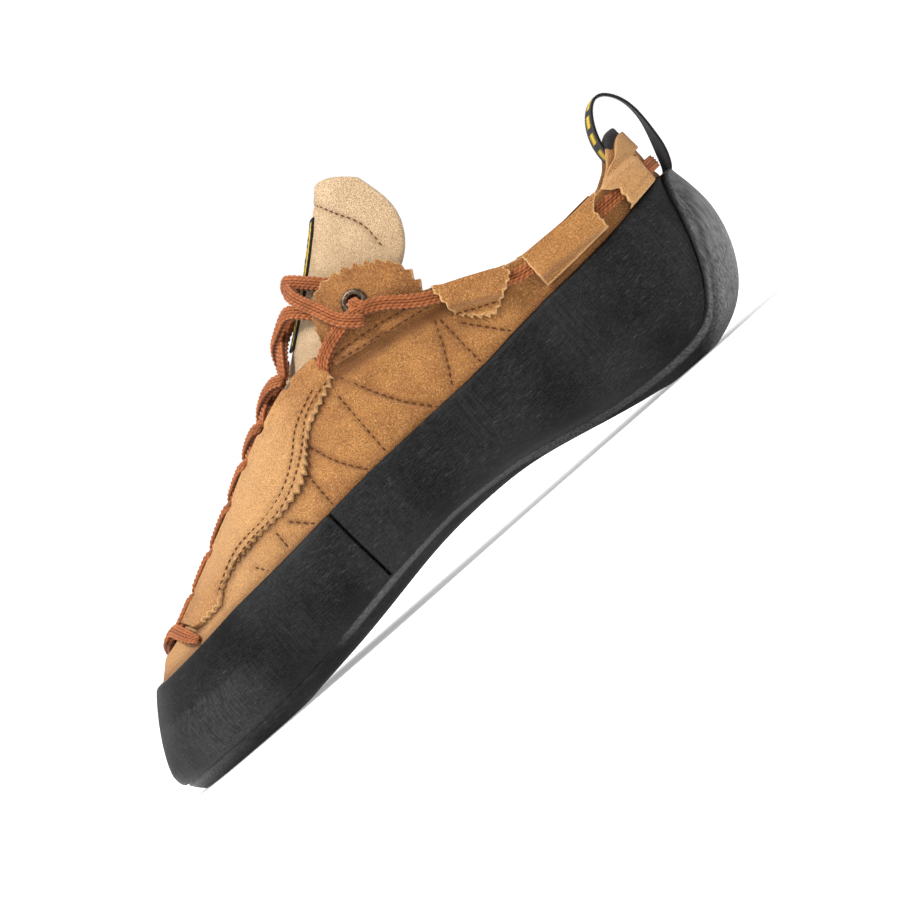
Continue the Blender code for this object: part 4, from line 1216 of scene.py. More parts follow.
class Upper:
    """The suede wall with its quarter seams, collar edge and lining."""

    rows_hidden = 10
    rows_shown = 46
    side_ribs = 190
    toe_ribs = 60
    heel_ribs = 76

    def __init__(self, last: Last, patches: Patches) -> None:
        """Keep the last and the maker.

        Args:
            last: The last.
            patches: Maker of patches.
        """
        self.last = last
        self.patches = patches
        self.sole_line = side_line(SOLE_LINE, SIZES.rand_height)
        self.rand_line = side_line(RAND_LINE, SIZES.rand_height)
        self.collar_line = side_line(COLLAR_LINE, SIZES.collar_height)
        self.throat = side_line(THROAT, SIZES.width)
        self.outside = WALLS.rubber_gap + WALLS.rand

    def ring(self, side_count: int, toe_count: int, heel_count: int) -> Array:
        """Return places round the last, in pairs along both sides.

        Args:
            side_count: Steps along each side.
            toe_count: Steps round the toe.
            heel_count: Steps round the heel.

        Returns:
            Rising places, the last one a full round after the first.
        """
        last = self.last
        toe, heel = last.toe_axis - last.blend, last.heel_axis + last.blend
        xs = np.linspace(toe, heel, side_count + 1)
        lateral = last.place_at(-1, xs[::-1])
        medial = last.place_at(1, xs)
        front = np.linspace(lateral[-1], medial[0], toe_count + 1)[1:-1]
        back = np.linspace(medial[-1], last.round + lateral[0], heel_count + 1)[1:]
        return np.concatenate((lateral, front, medial, back))

    def rand_turn(self, place: Array) -> Array:
        """Return the turns of the rand's top edge."""
        return self.last.turn_on(place, self.rand_line, self.outside)

    def sole_turn(self, place: Array) -> Array:
        """Return the turns of the outsole's upper edge."""
        return self.last.turn_on(place, self.sole_line, self.outside)

    def top_turn(self, place: Array) -> Array:
        """Return the turns of the top edge: the throat in front, the collar behind.

        Args:
            place: Places along the outline.

        Returns:
            Turns.
        """
        x = self.last.edge_x(place)
        share = soft_step((x / SIZES.length - 0.450) / 0.060)
        throat = self.last.turn_at_reach(place, self.throat(x), True)
        return throat * (1 - share) + self.last.turn_on(place, self.collar_line) * share

    @staticmethod
    def unevenness(grid: Grid, depth: float) -> Array:
        """Return the soft lumps of hand-lasted leather.

        Args:
            grid: The patch.
            depth: Height of the lumps.

        Returns:
            Offsets.
        """
        x, z = grid.x / MM, grid.z / MM
        y = grid.point[..., 1] / MM
        lumps = np.sin(x / 6.3 + 1.7 * np.sin(z / 9.1)) * np.sin(z / 7.7 + y / 11.0)
        lumps = lumps + 0.6 * np.sin(x / 3.1 + z / 4.3 + 0.9) * np.sin(z / 3.7 - x / 8.3)
        return depth * lumps / 1.6

    def build(self) -> bpy.types.Object:
        """Build the wall.

        Returns:
            The piece.
        """
        last = self.last
        places = self.ring(self.side_ribs, self.toe_ribs, self.heel_ribs)
        reach = last.rib(places)[2]
        bottom = last.turn_at_reach(places, reach - WALLS.lasting_margin, False)
        rand, top = self.rand_turn(places), self.top_turn(places)
        knee = np.linspace(0, 1, self.rows_hidden + 1)[:-1]
        shown = spread(self.rows_shown, 0.0, 0.9 * MM, 30 * MM)
        turn = np.concatenate((
            bottom[:, None] + (rand - bottom)[:, None] * knee[None, :],
            rand[:, None] + (top - rand)[:, None] * shown[None, :],
        ), axis=1)
        grid = self.patches.laid(places, turn)
        trough = bell(nearest(grid, QUARTER_SEAMS), 1.1 * MM)
        above = soft_step((grid.z - self.rand_line(grid.x)) / (2 * MM))
        relief = self.unevenness(grid, 0.45 * MM) * above - 0.6 * MM * trough * above
        relief = relief + self.creases(grid) * above
        relief = np.minimum(relief, 0.55 * MM)
        edge = grid.round_off(0.3 * MM, 0.9 * MM, 0.0)
        middle = -WALLS.upper / 2
        outer = middle + (relief - middle) * edge
        inner = middle + (-WALLS.upper + relief * 0.5 - middle) * edge
        heel = soft_step((grid.x / SIZES.length - 0.955) / 0.02)
        # Paler towards the toe: scuffed nap together with a painted highlight on the upward-facing vamp
        rubbed_and_painted_light = 0.5 * soft_step((104 * MM - grid.x) / (52 * MM))
        cut = np.maximum(rubbed_and_painted_light, 0.7 * (1 - rounded(grid.high, 0.8 * MM)))
        marks = {"shade": self.shade(grid, trough), "cut": cut,
                 "binding": heel * ramp(grid.high, 8.5 * MM)}
        piece = self.patches.shell("upper_wall", grid, outer, inner, marks)
        return stand_for(piece, "upper")

    def creases(self, grid: Grid) -> Array:
        """Return the main creases of the quarter and the vamp.

        Args:
            grid: The patch.

        Returns:
            Offsets.
        """
        folds = (
            (((128, 62), (141, 60), (152, 57)), 3.2, -0.55), (((124, 66), (140, 65), (154, 61)), 3.0, 0.4),
            (((172, 58), (184, 52), (196, 49)), 2.6, -0.4), (((98, 50), (108, 46)), 2.6, -0.3),
            (((22, 39), (32, 41)), 2.0, 0.3), (((206, 56), (214, 50)), 2.2, -0.35),
        )
        total = np.zeros(grid.x.shape)
        for route, width, height in folds:
            near = polyline_distance(grid.x, grid.z, route) / (width * MM)
            total = total + 1.4 * height * MM * np.exp(-(near**2))
        return total

    def shade(self, grid: Grid, trough: Array) -> Array:
        """Return where the wall is painted darker: just above the rand, painted shadows under the
        eyestays, flap and tunnels, painted shade in the stitched grooves, and soft random patches.

        Args:
            grid: The patch.
            trough: Share of the stitched grooves.

        Returns:
            Shares.
        """
        over = grid.z - self.rand_line(grid.x)
        # Darker just above the rand
        foot = fading(np.clip(over, 0, None), 1.6 * MM) * 0.55
        # Painted shadow of the ankle flap on the wall below it
        under = polyline_distance(grid.x, grid.z, ((120, 70.5), (140, 68), (161, 64.5)))
        below = bell(under, 2.3 * MM) * 0.80
        # Painted shadows under the lower edges of the eyestays and the tunnels
        for rows, height, start, end in (
            (EYESTAY_LINE, SIZES.instep_height, 0.125, 0.497),
            (TUNNEL_FRONT_LINE, SIZES.collar_height, 0.67, 0.765),
            (TUNNEL_REAR_LINE, SIZES.collar_height, 0.787, 0.899),
        ):
            drop = side_line(rows, height)(grid.x) - grid.z
            along = grid.x / SIZES.length
            inside = soft_step((along - start) / 0.01) * soft_step((end - along) / 0.01)
            near = fading(np.clip(drop, 0, None), 0.9 * MM) * (drop > -1 * MM) * 0.75
            below = np.maximum(below, near * inside)
        patch = 0.16 * np.clip(np.sin(grid.x / (9 * MM)) * np.sin(grid.z / (6 * MM) + 1), 0, 1)
        # Painted shade in the stitched grooves, plus soft random patches
        return np.clip(np.maximum(np.maximum(foot, below), 0.35 * trough) + patch, 0, 1)


class Rubber:
    """The outsole with its heel strip, and the rands."""

    seam = ((91, 40.9), (91.6, 30), (92.5, 20), (93, 13))

    def __init__(self, upper: Upper) -> None:
        """Keep the wall that the rubber is wrapped on.

        Args:
            upper: The suede wall.
        """
        self.upper = upper
        self.last = upper.last
        self.patches = upper.patches

    def strip(self, place: Array) -> Array:
        """Return 0 along the sides and 1 behind the heel."""
        return soft_step((self.last.edge_x(place) / SIZES.length - 0.90) / 0.07)

    @staticmethod
    def grounded(points: Array) -> Array:
        """Return points with the forefoot and heel ground flat on one plane.

        Args:
            points: Points of the sole.

        Returns:
            Points at or over the floor.
        """
        height = np.clip(points[:, 2], 0, None)
        points[:, 2] = height * soft_step(height / (1.1 * MM))
        return points

    def build_sole(self) -> bpy.types.Object:
        """Build the outsole.

        Returns:
            The piece.
        """
        places = self.upper.ring(120, 44, 60)
        edge = self.upper.sole_turn(places)
        shares = spread(38, 0.0, 0.5 * MM, 48 * MM)
        grid = self.patches.grid(places, np.full(places.shape, -1.0), edge, shares)
        strip = self.strip(grid.place)
        depth = soft_step((edge[:, None] - grid.turn) / np.minimum(0.35, 0.8 * (edge + 1))[:, None])
        rim = WALLS.rand + (WALLS.heel_strip - WALLS.rand) * strip
        outer = WALLS.rubber_gap + rim + (WALLS.sole - rim) * depth
        inner = WALLS.rubber_gap * (1 + strip * soft_step((grid.turn + 1) / 0.3))
        edge_share = rounded(grid.high, 0.5 * MM)
        bulge = 1.7 * MM * strip * bell(grid.z - 36 * MM, 11 * MM)
        outer = outer + bulge * soft_step(grid.high / (6 * MM))
        outer = inner + (outer - inner) * np.where(grid.high > 0, np.maximum(edge_share, 0.55), 0)
        # Painted highlight on the sole's side just below the rand, from the arch back
        facet_highlight = soft_step(grid.high / (0.6 * MM)) * (1 - soft_step((grid.high - 3.2 * MM) / (1.5 * MM)))
        facet_highlight = facet_highlight * soft_step((grid.x - 62 * MM) / (13 * MM))
        # Painted sheen on the heel strip, lighter away from its upper edge
        wear = strip * (0.22 + 0.78 * soft_step((grid.high - 1 * MM) / (13 * MM)))
        wear = np.clip(np.maximum(wear, 0.62 * facet_highlight), 0, 1)
        scuffed = 0.5 * bell(grid.x, 16 * MM)
        marks = {"wear": np.maximum(wear, scuffed), "shade": 0.9 * (1 - rounded(grid.high, 0.5 * MM))}
        piece = self.patches.shell("sole_body", grid, outer, inner, marks, self.grounded)
        return stand_for(piece, "outsole")

    def build_rand(self, name: str, places: Array, cut_start: bool, cut_end: bool,
                   *nodes: str) -> bpy.types.Object:
        """Build one length of rand.

        Args:
            name: Name of the piece.
            places: Its column places.
            cut_start: Whether the first end follows the slanted seam.
            cut_end: Whether the other end follows it.
            nodes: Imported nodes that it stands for.

        Returns:
            The piece.
        """
        last = self.last
        strip = self.strip(places)
        sole = self.upper.sole_turn(places)
        low = sole + (0.12 * MM + 0.9 * MM * strip) / last.pace(places, sole, 0.004)
        high = self.upper.rand_turn(places)
        low = np.minimum(low, high - 0.002)
        shares = spread(34, 1.6 * MM, 2.2 * MM, 30 * MM)
        grid = self.patches.grid(places, low, high, shares)
        seam_x = np.interp(grid.z, [z * MM for _, z in reversed(self.seam)],
                           [(x - RUBBER_TIP) * MM for x, _ in reversed(self.seam)])
        base_x = (self.seam[0][0] - RUBBER_TIP) * MM
        for cut, distance in ((cut_start, grid.start), (cut_end, grid.end)):
            if cut:
                fade = ramp(distance, 8 * MM)
                grid = self.patches.slid(grid, (seam_x - base_x) * fade)
        edge = grid.round_off(0.35 * MM, 2.2 * MM, 0.15 * MM)
        bumps = polyline_distance(grid.x, grid.z, ((186, 44), (200, 45.6), (214, 46.4)))
        jag = np.abs(np.mod(grid.x / (4.2 * MM), 1.0) - 0.5) * 2
        imprint = 0.5 * MM * bell(bumps - 1.6 * MM * jag, 0.9 * MM)
        outer = WALLS.rubber_gap + (WALLS.rand - 0.05 * MM + imprint) * (0.25 + 0.75 * edge)
        outer = np.where(edge > 0, outer, WALLS.rubber_gap * 0.2)
        inner = np.full(edge.shape, WALLS.rubber_gap * 0.2)
        # Painted sheen near the toe, and faint lighter bands along the rand
        wear = 0.25 * bell(grid.x - 22 * MM, 20 * MM) * (grid.z < 22 * MM)
        wear = np.maximum(wear, 0.10 * np.sin(grid.x / (13 * MM)) ** 2)
        line = 0.85 * (1 - rounded(np.minimum(grid.start, grid.end), 0.3 * MM))
        glue = bell(grid.x - 109 * MM, 14 * MM, 4)
        lump = 0.5 + 1.0 * glue * np.abs(np.sin(grid.x / (1.3 * MM))) ** 0.7
        line = np.maximum(line, 0.95 * bell(grid.low, lump * MM))
        line = np.maximum(line, 0.35 * fading(grid.high, 0.8 * MM))
        piece = self.patches.shell(name, grid, outer, inner, {"wear": wear, "shade": line})
        return stand_for(piece, *nodes)

    def rand_end(self, side: int) -> float:
        """Return the place where a heel rand runs out against the strip.

        Args:
            side: -1 lateral or 1 medial.

        Returns:
            A place.
        """
        last = self.last
        far = 0.0 if side < 0 else last.round
        places = np.linspace(float(last.place_at(side, last.heel_axis)), far, 400)
        rise = last.point(places, self.upper.rand_turn(places))[:, 2]
        rise = rise - last.point(places, self.upper.sole_turn(places))[:, 2]
        open_places = places[rise > 1.6 * MM]
        return float(open_places[-1])

    def build_all(self, finishes: Finishes) -> None:
        """Build and dress the rubber.

        Args:
            finishes: Materials.
        """
        last = self.last
        dress(self.build_sole(), "rubber", finishes.strip)
        seam_x = (self.seam[0][0] - RUBBER_TIP) * MM
        lateral, medial = float(last.place_at(-1, seam_x)), float(last.place_at(1, seam_x))
        gap = 0.03 * MM
        toe = np.linspace(lateral + gap, medial - gap, 330)
        dress(self.build_rand("toe_wrap", toe, True, True, "rand_toe"), "rubber", finishes.rubber)
        for side, start, end in ((Side.LATERAL, self.rand_end(-1), lateral - gap),
                                 (Side.MEDIAL, medial + gap, self.rand_end(1))):
            cuts = side is Side.MEDIAL, side is Side.LATERAL
            piece = self.build_rand(f"heel_wrap_{side.word}", np.linspace(start, end, 260), *cuts,
                                    f"rand_heel_{side.word}")
            dress(piece, "rubber", finishes.rubber)


class Inside:
    """The insole and the tongue with its patch."""

    tongue_rows = 130
    tongue_shares = 64
    top = -(WALLS.upper + 3 * WALLS.gap)

    def __init__(self, upper: Upper) -> None:
        """Keep the wall.

        Args:
            upper: The suede wall.
        """
        self.upper = upper
        self.last = upper.last
        self.patches = upper.patches
        places = [row[0] for row in TONGUE]
        self.along = Curve(places, [row[1] for row in TONGUE])
        self.height = Curve(places, [row[2] for row in TONGUE])
        self.first, self.final = places[0], places[-1]

    def build_insole(self) -> bpy.types.Object:
        """Build the insole.

        Returns:
            The piece.
        """
        places = self.upper.ring(90, 36, 40)
        reach = self.last.rib(places)[2]
        high = self.last.turn_at_reach(places, reach - WALLS.insole_margin, False)
        shares = spread(22, 0.0, 0.8 * MM, 30 * MM)
        grid = self.patches.grid(places, np.full(places.shape, -1.0), high, shares)
        edge = grid.round_off(0.0, 0.8 * MM, 0.0)
        top = -(WALLS.upper + 2 * WALLS.gap)
        middle = top - WALLS.insole / 2
        half = WALLS.insole / 2 * edge
        groove = 0.6 * bell(grid.high - 3 * MM, 0.5 * MM)
        piece = self.patches.shell("insole_board", grid, middle + half, middle - half,
                                   {"groove": groove, "stripe": np.zeros(edge.shape)})
        return stand_for(piece, "insole")

    def tongue_grid(self, rows: Array, shares: Array) -> Grid:
        """Return the tongue's grid.

        Args:
            rows: Places along the middle line.
            shares: Shares across, -1 lateral edge to 1 medial edge.

        Returns:
            The measured grid.
        """
        length, last = SIZES.length, self.last
        row, share = np.meshgrid(rows, shares, indexing="ij")
        side = np.where(share > 0, 1, -1)
        middle = row * length
        edge_x, edge_z = self.along(row) * length, self.height(row) * SIZES.instep_height
        edge_place = last.place_at(side, edge_x)
        edge = last.turn_on(edge_place, lambda _x: edge_z)
        place = last.place_at(side, middle + (edge_x - middle) * np.abs(share) ** 1.7)
        return Grid(last, place, 1 + (edge - 1) * np.abs(share))

    def build_tongue(self) -> bpy.types.Object:
        """Build the tongue.

        Returns:
            The piece.
        """
        rows = self.first + (self.final - self.first) * spread(self.tongue_rows, 1 * MM, 1.2 * MM,
                                                               118 * MM)
        shares = 2 * spread(self.tongue_shares, 1.2 * MM, 1.2 * MM, 50 * MM) - 1
        grid = self.tongue_grid(rows, shares)
        edge = grid.round_off(1.2 * MM, 1.2 * MM, 1.2 * MM)
        x, z = grid.x, grid.z
        crease = polyline_distance(x, z, ((148, 117), (151.7, 111), (156.5, 102), (157, 91)))
        trough = bell(crease, 0.8 * MM)
        relief = 0.35 * MM * np.sin(x / (7 * MM) + z / (10 * MM)) * np.sin(z / (6 * MM))
        relief = relief + 0.3 * MM * bell(crease - 4 * MM, 2.2 * MM) - 0.5 * MM * trough
        relief = np.clip(relief, -0.6 * MM, 0.15 * MM) * rounded(np.minimum(grid.low, grid.high), 4 * MM)
        middle = self.top - WALLS.tongue / 2
        outer = middle + (WALLS.tongue / 2 + relief) * edge
        inner = middle - WALLS.tongue / 2 * edge
        low = bell(z - 88 * MM, 9 * MM) * 0.10
        shade = np.clip(0.5 * trough + low, 0, 1)
        cut = 0.5 * (1 - edge)
        piece = self.patches.shell("tongue_body", grid, outer, inner, {"shade": shade, "cut": cut})
        return stand_for(piece, "tongue")

    def build_label(self) -> bpy.types.Object:
        """Build the plain woven patch.

        Returns:
            The piece.
        """
        step = (self.final - self.first) / 15
        rows = self.first + step * (10 + 4 * spread(60, 0.3 * MM, 0.3 * MM, 35 * MM))
        shares = -0.2 + 0.4 * spread(24, 0.3 * MM, 0.3 * MM, 11 * MM)
        grid = self.tongue_grid(rows, shares)
        edge = grid.round_off(0.3 * MM, 0.3 * MM, 0.3 * MM)
        base = self.top + WALLS.gap * 0.4
        across = np.minimum(grid.low, grid.high)
        line = bell(across - 1.3 * MM, 0.45 * MM)
        bar = (np.mod(grid.start / (6 * MM), 1.0) < 0.45) & (across > 3.2 * MM)
        stripe = np.clip(line + 0.9 * bar, 0, 1) * (np.minimum(grid.start, grid.end) > 1.5 * MM)
        weave = 0.06 * MM * np.sin(grid.start / (0.5 * MM) * math.pi)
        outer = base + (WALLS.label + weave) * edge
        piece = self.patches.shell("label_patch", grid, outer, np.full(edge.shape, base),
                                   {"stripe": stripe, "groove": np.zeros(edge.shape)})
        return stand_for(piece, "tongue_label")

    def build_all(self, finishes: Finishes) -> None:
        """Build and dress the pieces.

        Args:
            finishes: Materials.
        """
        dress(self.build_insole(), "board", finishes.board)
        dress(self.build_tongue(), "pale_suede", finishes.tongue)
        dress(self.build_label(), "webbing", finishes.webbing)


class Overlays:
    """Eyestays, ankle flaps, eyelets, tunnels and the heel tab."""

    eyelet_spot = (0.586, 0.703)
    eyelet_hole = 0.0044
    eyelet_flange = 0.0086
    cover_rows = (-1.37, -1.1, -0.84, -0.4, 0.0, 0.4, 0.84, 1.1, 1.37, 1.9, 2.6)

    def __init__(self, upper: Upper) -> None:
        """Keep the wall that the overlays are sewn to.

        Args:
            upper: The suede wall.
        """
        self.upper = upper
        self.last = upper.last
        self.patches = upper.patches
        instep, collar = SIZES.instep_height, SIZES.collar_height
        self.eyestay_line = side_line(EYESTAY_LINE, instep)
        self.flap_top = side_line(FLAP_TOP_LINE, instep, 2.0 * MM)
        self.flap_low = side_line(FLAP_LOW_LINE, instep)
        self.front_low = side_line(TUNNEL_FRONT_LINE, collar)
        self.rear_low = side_line(TUNNEL_REAR_LINE, collar)
        self.lace_line = side_line(HEEL_LACE_LINE, collar)

    def side_places(self, side: Side, start: float, end: float, count: int, radius: float) -> Array:
        """Return places of one side, crowded at both ends."""
        xs = start + (end - start) * spread(count, radius, radius, abs(end - start))
        return self.last.place_at(side.value, xs)

    def over_rand(self, places: Array, turn: Array) -> Array:
        """Return the wished turns of column places, kept above the rand."""
        rand = self.upper.rand_turn(places)
        return np.maximum(turn, rand + 0.25 * MM / self.last.pace(places, rand))

    def run(self, places: Array, turn: Array) -> Array:
        """Return the distance along an edge of column places and turns."""
        return run_along(self.last.point(places, turn))

    def build_eyestay(self, side: Side) -> bpy.types.Object:
        """Build one eyestay with its pinked edge and notched throat.

        Args:
            side: Side of the shoe.

        Returns:
            The piece.
        """
        length = SIZES.length
        places = self.side_places(side, 0.136 * length, 0.500 * length, 280, 0.3 * MM)
        low = self.over_rand(places, self.last.turn_on(places, self.eyestay_line))
        along = self.run(places, low)
        x = self.last.edge_x(places)
        inside = soft_step((x - 0.150 * length) / (4 * MM))
        low = low + inside * teeth(along, 3.0 * MM, 1.7 * MM) / self.last.pace(places, low)
        high = self.upper.top_turn(places)
        notch = np.zeros(x.shape)
        for spot in NOTCHES:
            notch = np.maximum(notch, bell(x - spot * length, 1.5 * MM, 4))
        reach = self.last.pace(places, high)
        high = high - notch * 1.1 * MM / reach
        shares = spread(40, 0.28 * MM, 1.1 * MM, 16 * MM)
        grid = self.patches.grid(places, low, high, shares)
        slant = 2.8 * MM * (1 - grid.low / np.maximum(grid.low[:, -1:], 1e-6))
        fade = ramp(grid.start, 9 * MM)
        grid = self.patches.slid(grid, slant * fade)
        edge = grid.round_off(0.28 * MM, 1.1 * MM, 0.28 * MM)
        trough = bell(nearest(grid, EYESTAY_STITCHES), 0.7 * MM)
        fold = 0.35 * MM * bell(grid.high - 2.2 * MM, 1.5 * MM)
        fold = fold - 0.3 * MM * bell(grid.high - 4.6 * MM, 1.0 * MM)
        press = 0.5 * MM * notch[:, None] * bell(grid.high, 2.6 * MM)
        relief = Upper.unevenness(grid, 0.22 * MM) + fold - press - 0.3 * MM * trough
        lift = 0.3 * MM * fading(grid.low, 1.2 * MM) * np.sin(along / (3 * MM) * math.tau)[:, None]
        base = 0.12 * MM
        outer = base + (1.75 * MM + np.minimum(relief + lift, 0.45 * MM)) * edge
        # Paler up the front of the eyestays: scuffed nap together with a painted highlight where the top
        # light falls
        rubbed_and_painted_light = 0.5 * soft_step((grid.z - 40 * MM) / (14 * MM))
        rubbed_and_painted_light = rubbed_and_painted_light * (1 - soft_step((grid.x - 88 * MM) / (20 * MM)))
        cut = np.maximum(rubbed_and_painted_light, ramp(grid.low, 0.6 * MM, 1.4) * inside[:, None])
        shade = np.clip(0.25 * trough + 0.6 * (notch[:, None] * fading(grid.high, 1.6 * MM)), 0, 1)
        name = f"eyestay_overlay_{side.word}"
        piece = self.patches.shell(name, grid, outer, np.full(edge.shape, base),
                                   {"cut": cut, "shade": shade})
        return stand_for(piece, f"eyestay_{side.word}")

    def eyelet_frame(self, side: Side) -> tuple:
        """Return the eyelet's centre on the last and the turn that lays it flat there.

        Args:
            side: Side of the shoe.

        Returns:
            Centre and turn.
        """
        along, height = self.eyelet_spot
        place, turn = self.last.at_height(
            side.value, np.array([along * SIZES.length]), height * SIZES.instep_height
        )
        centre = self.last.skin(place, turn, np.zeros(1))[0]
        outward = Vector(self.last.normal(place, turn)[0])
        return Vector(centre), Vector((0, 0, 1)).rotation_difference(outward).to_matrix()

    def build_flap(self, side: Side) -> bpy.types.Object:
        """Build one half-round ankle flap.

        Args:
            side: Side of the shoe.

        Returns:
            The piece.
        """
        length = SIZES.length
        places = self.side_places(side, 0.5135 * length, 0.671 * length, 210, 0.3 * MM)
        high = self.last.turn_on(places, self.flap_top)
        low = self.last.turn_on(places, self.flap_low)
        along = self.run(places, high)
        high = high - teeth(along, 3.9 * MM, 1.7 * MM) / self.last.pace(places, high)
        high = np.maximum(high, low + 0.02)
        shares = spread(44, 0.35 * MM, 0.3 * MM, 22 * MM)
        grid = self.patches.grid(places, low, high, shares)
        rim = ramp(grid.start, 6 * MM) * ramp(grid.high, 3 * MM)
        bite = teeth(grid.z - 1.2 * MM, 3.9 * MM, 1.8 * MM)
        grid = self.patches.slid(grid, bite * (rim - ramp(grid.end, 4 * MM)))
        edge = grid.round_off(0.35 * MM, 0.3 * MM, 0.3 * MM)
        trough = bell(nearest(grid, FLAP_STITCHES), 0.7 * MM)
        press = polyline_distance(grid.x, grid.z, ((122, 78.5), (136, 80.5), (150, 75.5), (160, 70)))
        dent = 0.45 * MM * bell(press, 2.6 * MM)
        relief = Upper.unevenness(grid, 0.25 * MM) - dent - 0.25 * MM * trough
        curl = 0.5 * MM * fading(grid.high, 2.0 * MM)
        middle = WALLS.overlay_gap + WALLS.overlay / 2
        half = WALLS.overlay / 2 * edge
        push = np.clip(relief + curl, -0.35 * MM, 0.5 * MM) * rounded(grid.low, 2 * MM)
        cut = ramp(np.minimum(grid.high, grid.end), 0.6 * MM, 1.4) * 0.9
        # Painted shade in the dent that the lace presses and in the stitch grooves, fed to the shade mark
        rubbed_and_painted_light = 0.3 * bell(press, 3.4 * MM) + 0.35 * trough
        name = f"ankle_overlay_{side.word}"
        piece = self.patches.shell(name, grid, middle + push + half, middle + push - half,
                                   {"cut": cut, "shade": np.clip(rubbed_and_painted_light, 0, 1)})
        self.punch(piece, side)
        return stand_for(piece, f"ankle_flap_{side.word}")

    def punch(self, piece: bpy.types.Object, side: Side) -> None:
        """Cut the eyelet's hole.

        Args:
            piece: The flap.
            side: Side of the shoe.
        """
        centre, turn = self.eyelet_frame(side)
        build = bmesh.new()
        bmesh.ops.create_cone(
            build, cap_ends=True, segments=40, radius1=2.7 * MM, radius2=2.7 * MM, depth=12 * MM,
            matrix=Matrix.Translation(centre) @ turn.to_4x4(),
        )
        cutter = new_object("hole_cutter", mesh_of("hole_cutter", build))
        modifier = piece.modifiers.new("hole", "BOOLEAN")
        modifier.object = cutter
        modifier.operation = "DIFFERENCE"
        bpy.context.view_layer.update()
        evaluated = piece.evaluated_get(bpy.context.evaluated_depsgraph_get())
        cut_mesh = bpy.data.meshes.new_from_object(evaluated)
        piece.modifiers.clear()
        piece.data = cut_mesh
        bpy.data.objects.remove(cutter)

    def build_eyelet(self, side: Side) -> bpy.types.Object:
        """Build one rolled metal eyelet.

        Args:
            side: Side of the shoe.

        Returns:
            The piece.
        """
        centre, turn = self.eyelet_frame(side)
        hole, flange = self.eyelet_hole / 2, self.eyelet_flange / 2
        face = WALLS.overlay_gap + WALLS.gap + WALLS.overlay
        build = bmesh.new()
        profile = [(hole, WALLS.gap), (hole + 0.6 * MM, WALLS.gap), (hole + 0.6 * MM, face)]
        for i in range(9):
            angle = math.pi * i / 8
            across = (flange + hole) / 2 + (flange - hole) / 2 * math.cos(angle)
            profile.append((across, face + 1.0 * MM * math.sin(angle) ** 0.7))
        ring = [build.verts.new((x, 0, z)) for x, z in profile]
        edges = [build.edges.new((ring[i - 1], ring[i])) for i in range(len(ring))]
        bmesh.ops.spin(
            build, geom=ring + edges, cent=(0, 0, 0), axis=(0, 0, 1), angle=math.tau, steps=64,
            use_merge=True,
        )
        bmesh.ops.rotate(build, verts=build.verts[:], matrix=turn, cent=(0, 0, 0))
        bmesh.ops.translate(build, verts=build.verts[:], vec=centre)
        name = f"eyelet_ring_{side.word}"
        piece = close_mesh(name, mesh_of(name, build))
        return stand_for(piece, f"eyelet_{side.word}")

    def covered(self, places: Array, low: Array, high: Array) -> Array:
        """Return turns whose rows follow the heel lace.

        Args:
            places: Column places.
            low: Turns of the lower edge.
            high: Turns of the upper edge.

        Returns:
            Turns in columns and rows.
        """
        middle = self.last.turn_on(places, self.lace_line)
        height = self.last.point(places, middle)[:, 2]
        wished = [self.last.turn_on(places, lambda _x, a=a: height + a * WALLS.lace_width)
                  for a in self.cover_rows]
        knots = np.stack([low, *[np.clip(t, low, high) for t in wished], high], axis=1)
        fine = np.linspace(0, 1, 46)
        marks = np.linspace(0, 1, knots.shape[1])
        turn = np.stack([np.interp(fine, marks, row) for row in knots])
        near = 0.25 * MM / self.last.pace(places, low)
        top = 0.25 * MM / self.last.pace(places, high)
        return np.concatenate((low[:, None], np.minimum(low + near, high)[:, None], turn[:, 2:-2],
                               np.maximum(high - top, low)[:, None], high[:, None]), axis=1)

    def cover(self, name: str, places: Array, low: Array, high: Array, stitches: Sequence,
              flutter: Callable[[Grid], Array], rubbed_and_painted_light: float = 0.0) -> bpy.types.Object:
        """Build a band of suede that swells over the heel lace.

        Args:
            name: Name of the piece.
            places: Column places.
            low: Turns of the lower edge.
            high: Turns of the upper edge.
            stitches: Stitch routes pressed into it.
            flutter: Function that gives how far its points move along x.
            rubbed_and_painted_light: Share of paler nap on its face, from rubbing together with painted
                light.

        Returns:
            The piece.
        """
        turn = np.sort(self.covered(places, low, high), axis=1)
        grid = self.patches.laid(places, turn)
        grid = self.patches.slid(grid, flutter(grid))
        away = np.abs(grid.z - self.lace_line(grid.x)) / WALLS.lace_width
        swell = 1 - soft_step((away - 0.84) / 0.53)
        edge = grid.round_off(0.25 * MM, 0.25 * MM, 0.3 * MM)
        trough = bell(nearest(grid, stitches), 0.45 * MM)
        push = Upper.unevenness(grid, 0.2 * MM) - 0.2 * MM * trough
        back = soft_step((grid.x / SIZES.length - 0.968) / 0.018)
        lift = (WALLS.lace_height + WALLS.gap) * swell * (1 - 0.9 * back)
        middle = 0.3 * MM * (1 - back) + WALLS.overlay / 2 + lift + np.minimum(push, 0.25 * MM)
        half = WALLS.overlay / 2 * edge
        cut = ramp(np.minimum(grid.low, np.minimum(grid.start, grid.end)), 0.6 * MM, 1.4)
        # Pale cut edges and paler nap with painted light; painted shade in the stitch grooves
        marks = {"cut": np.maximum(cut, rubbed_and_painted_light), "shade": 0.2 * trough}
        return self.patches.shell(name, grid, middle + half, middle - half, marks)

    def over_lace(self, grid: Grid) -> Array:
        """Return 0 up to the heel lace and 1 well above it."""
        return soft_step((grid.z - self.lace_line(grid.x) - 1.2 * MM) / (3 * MM))

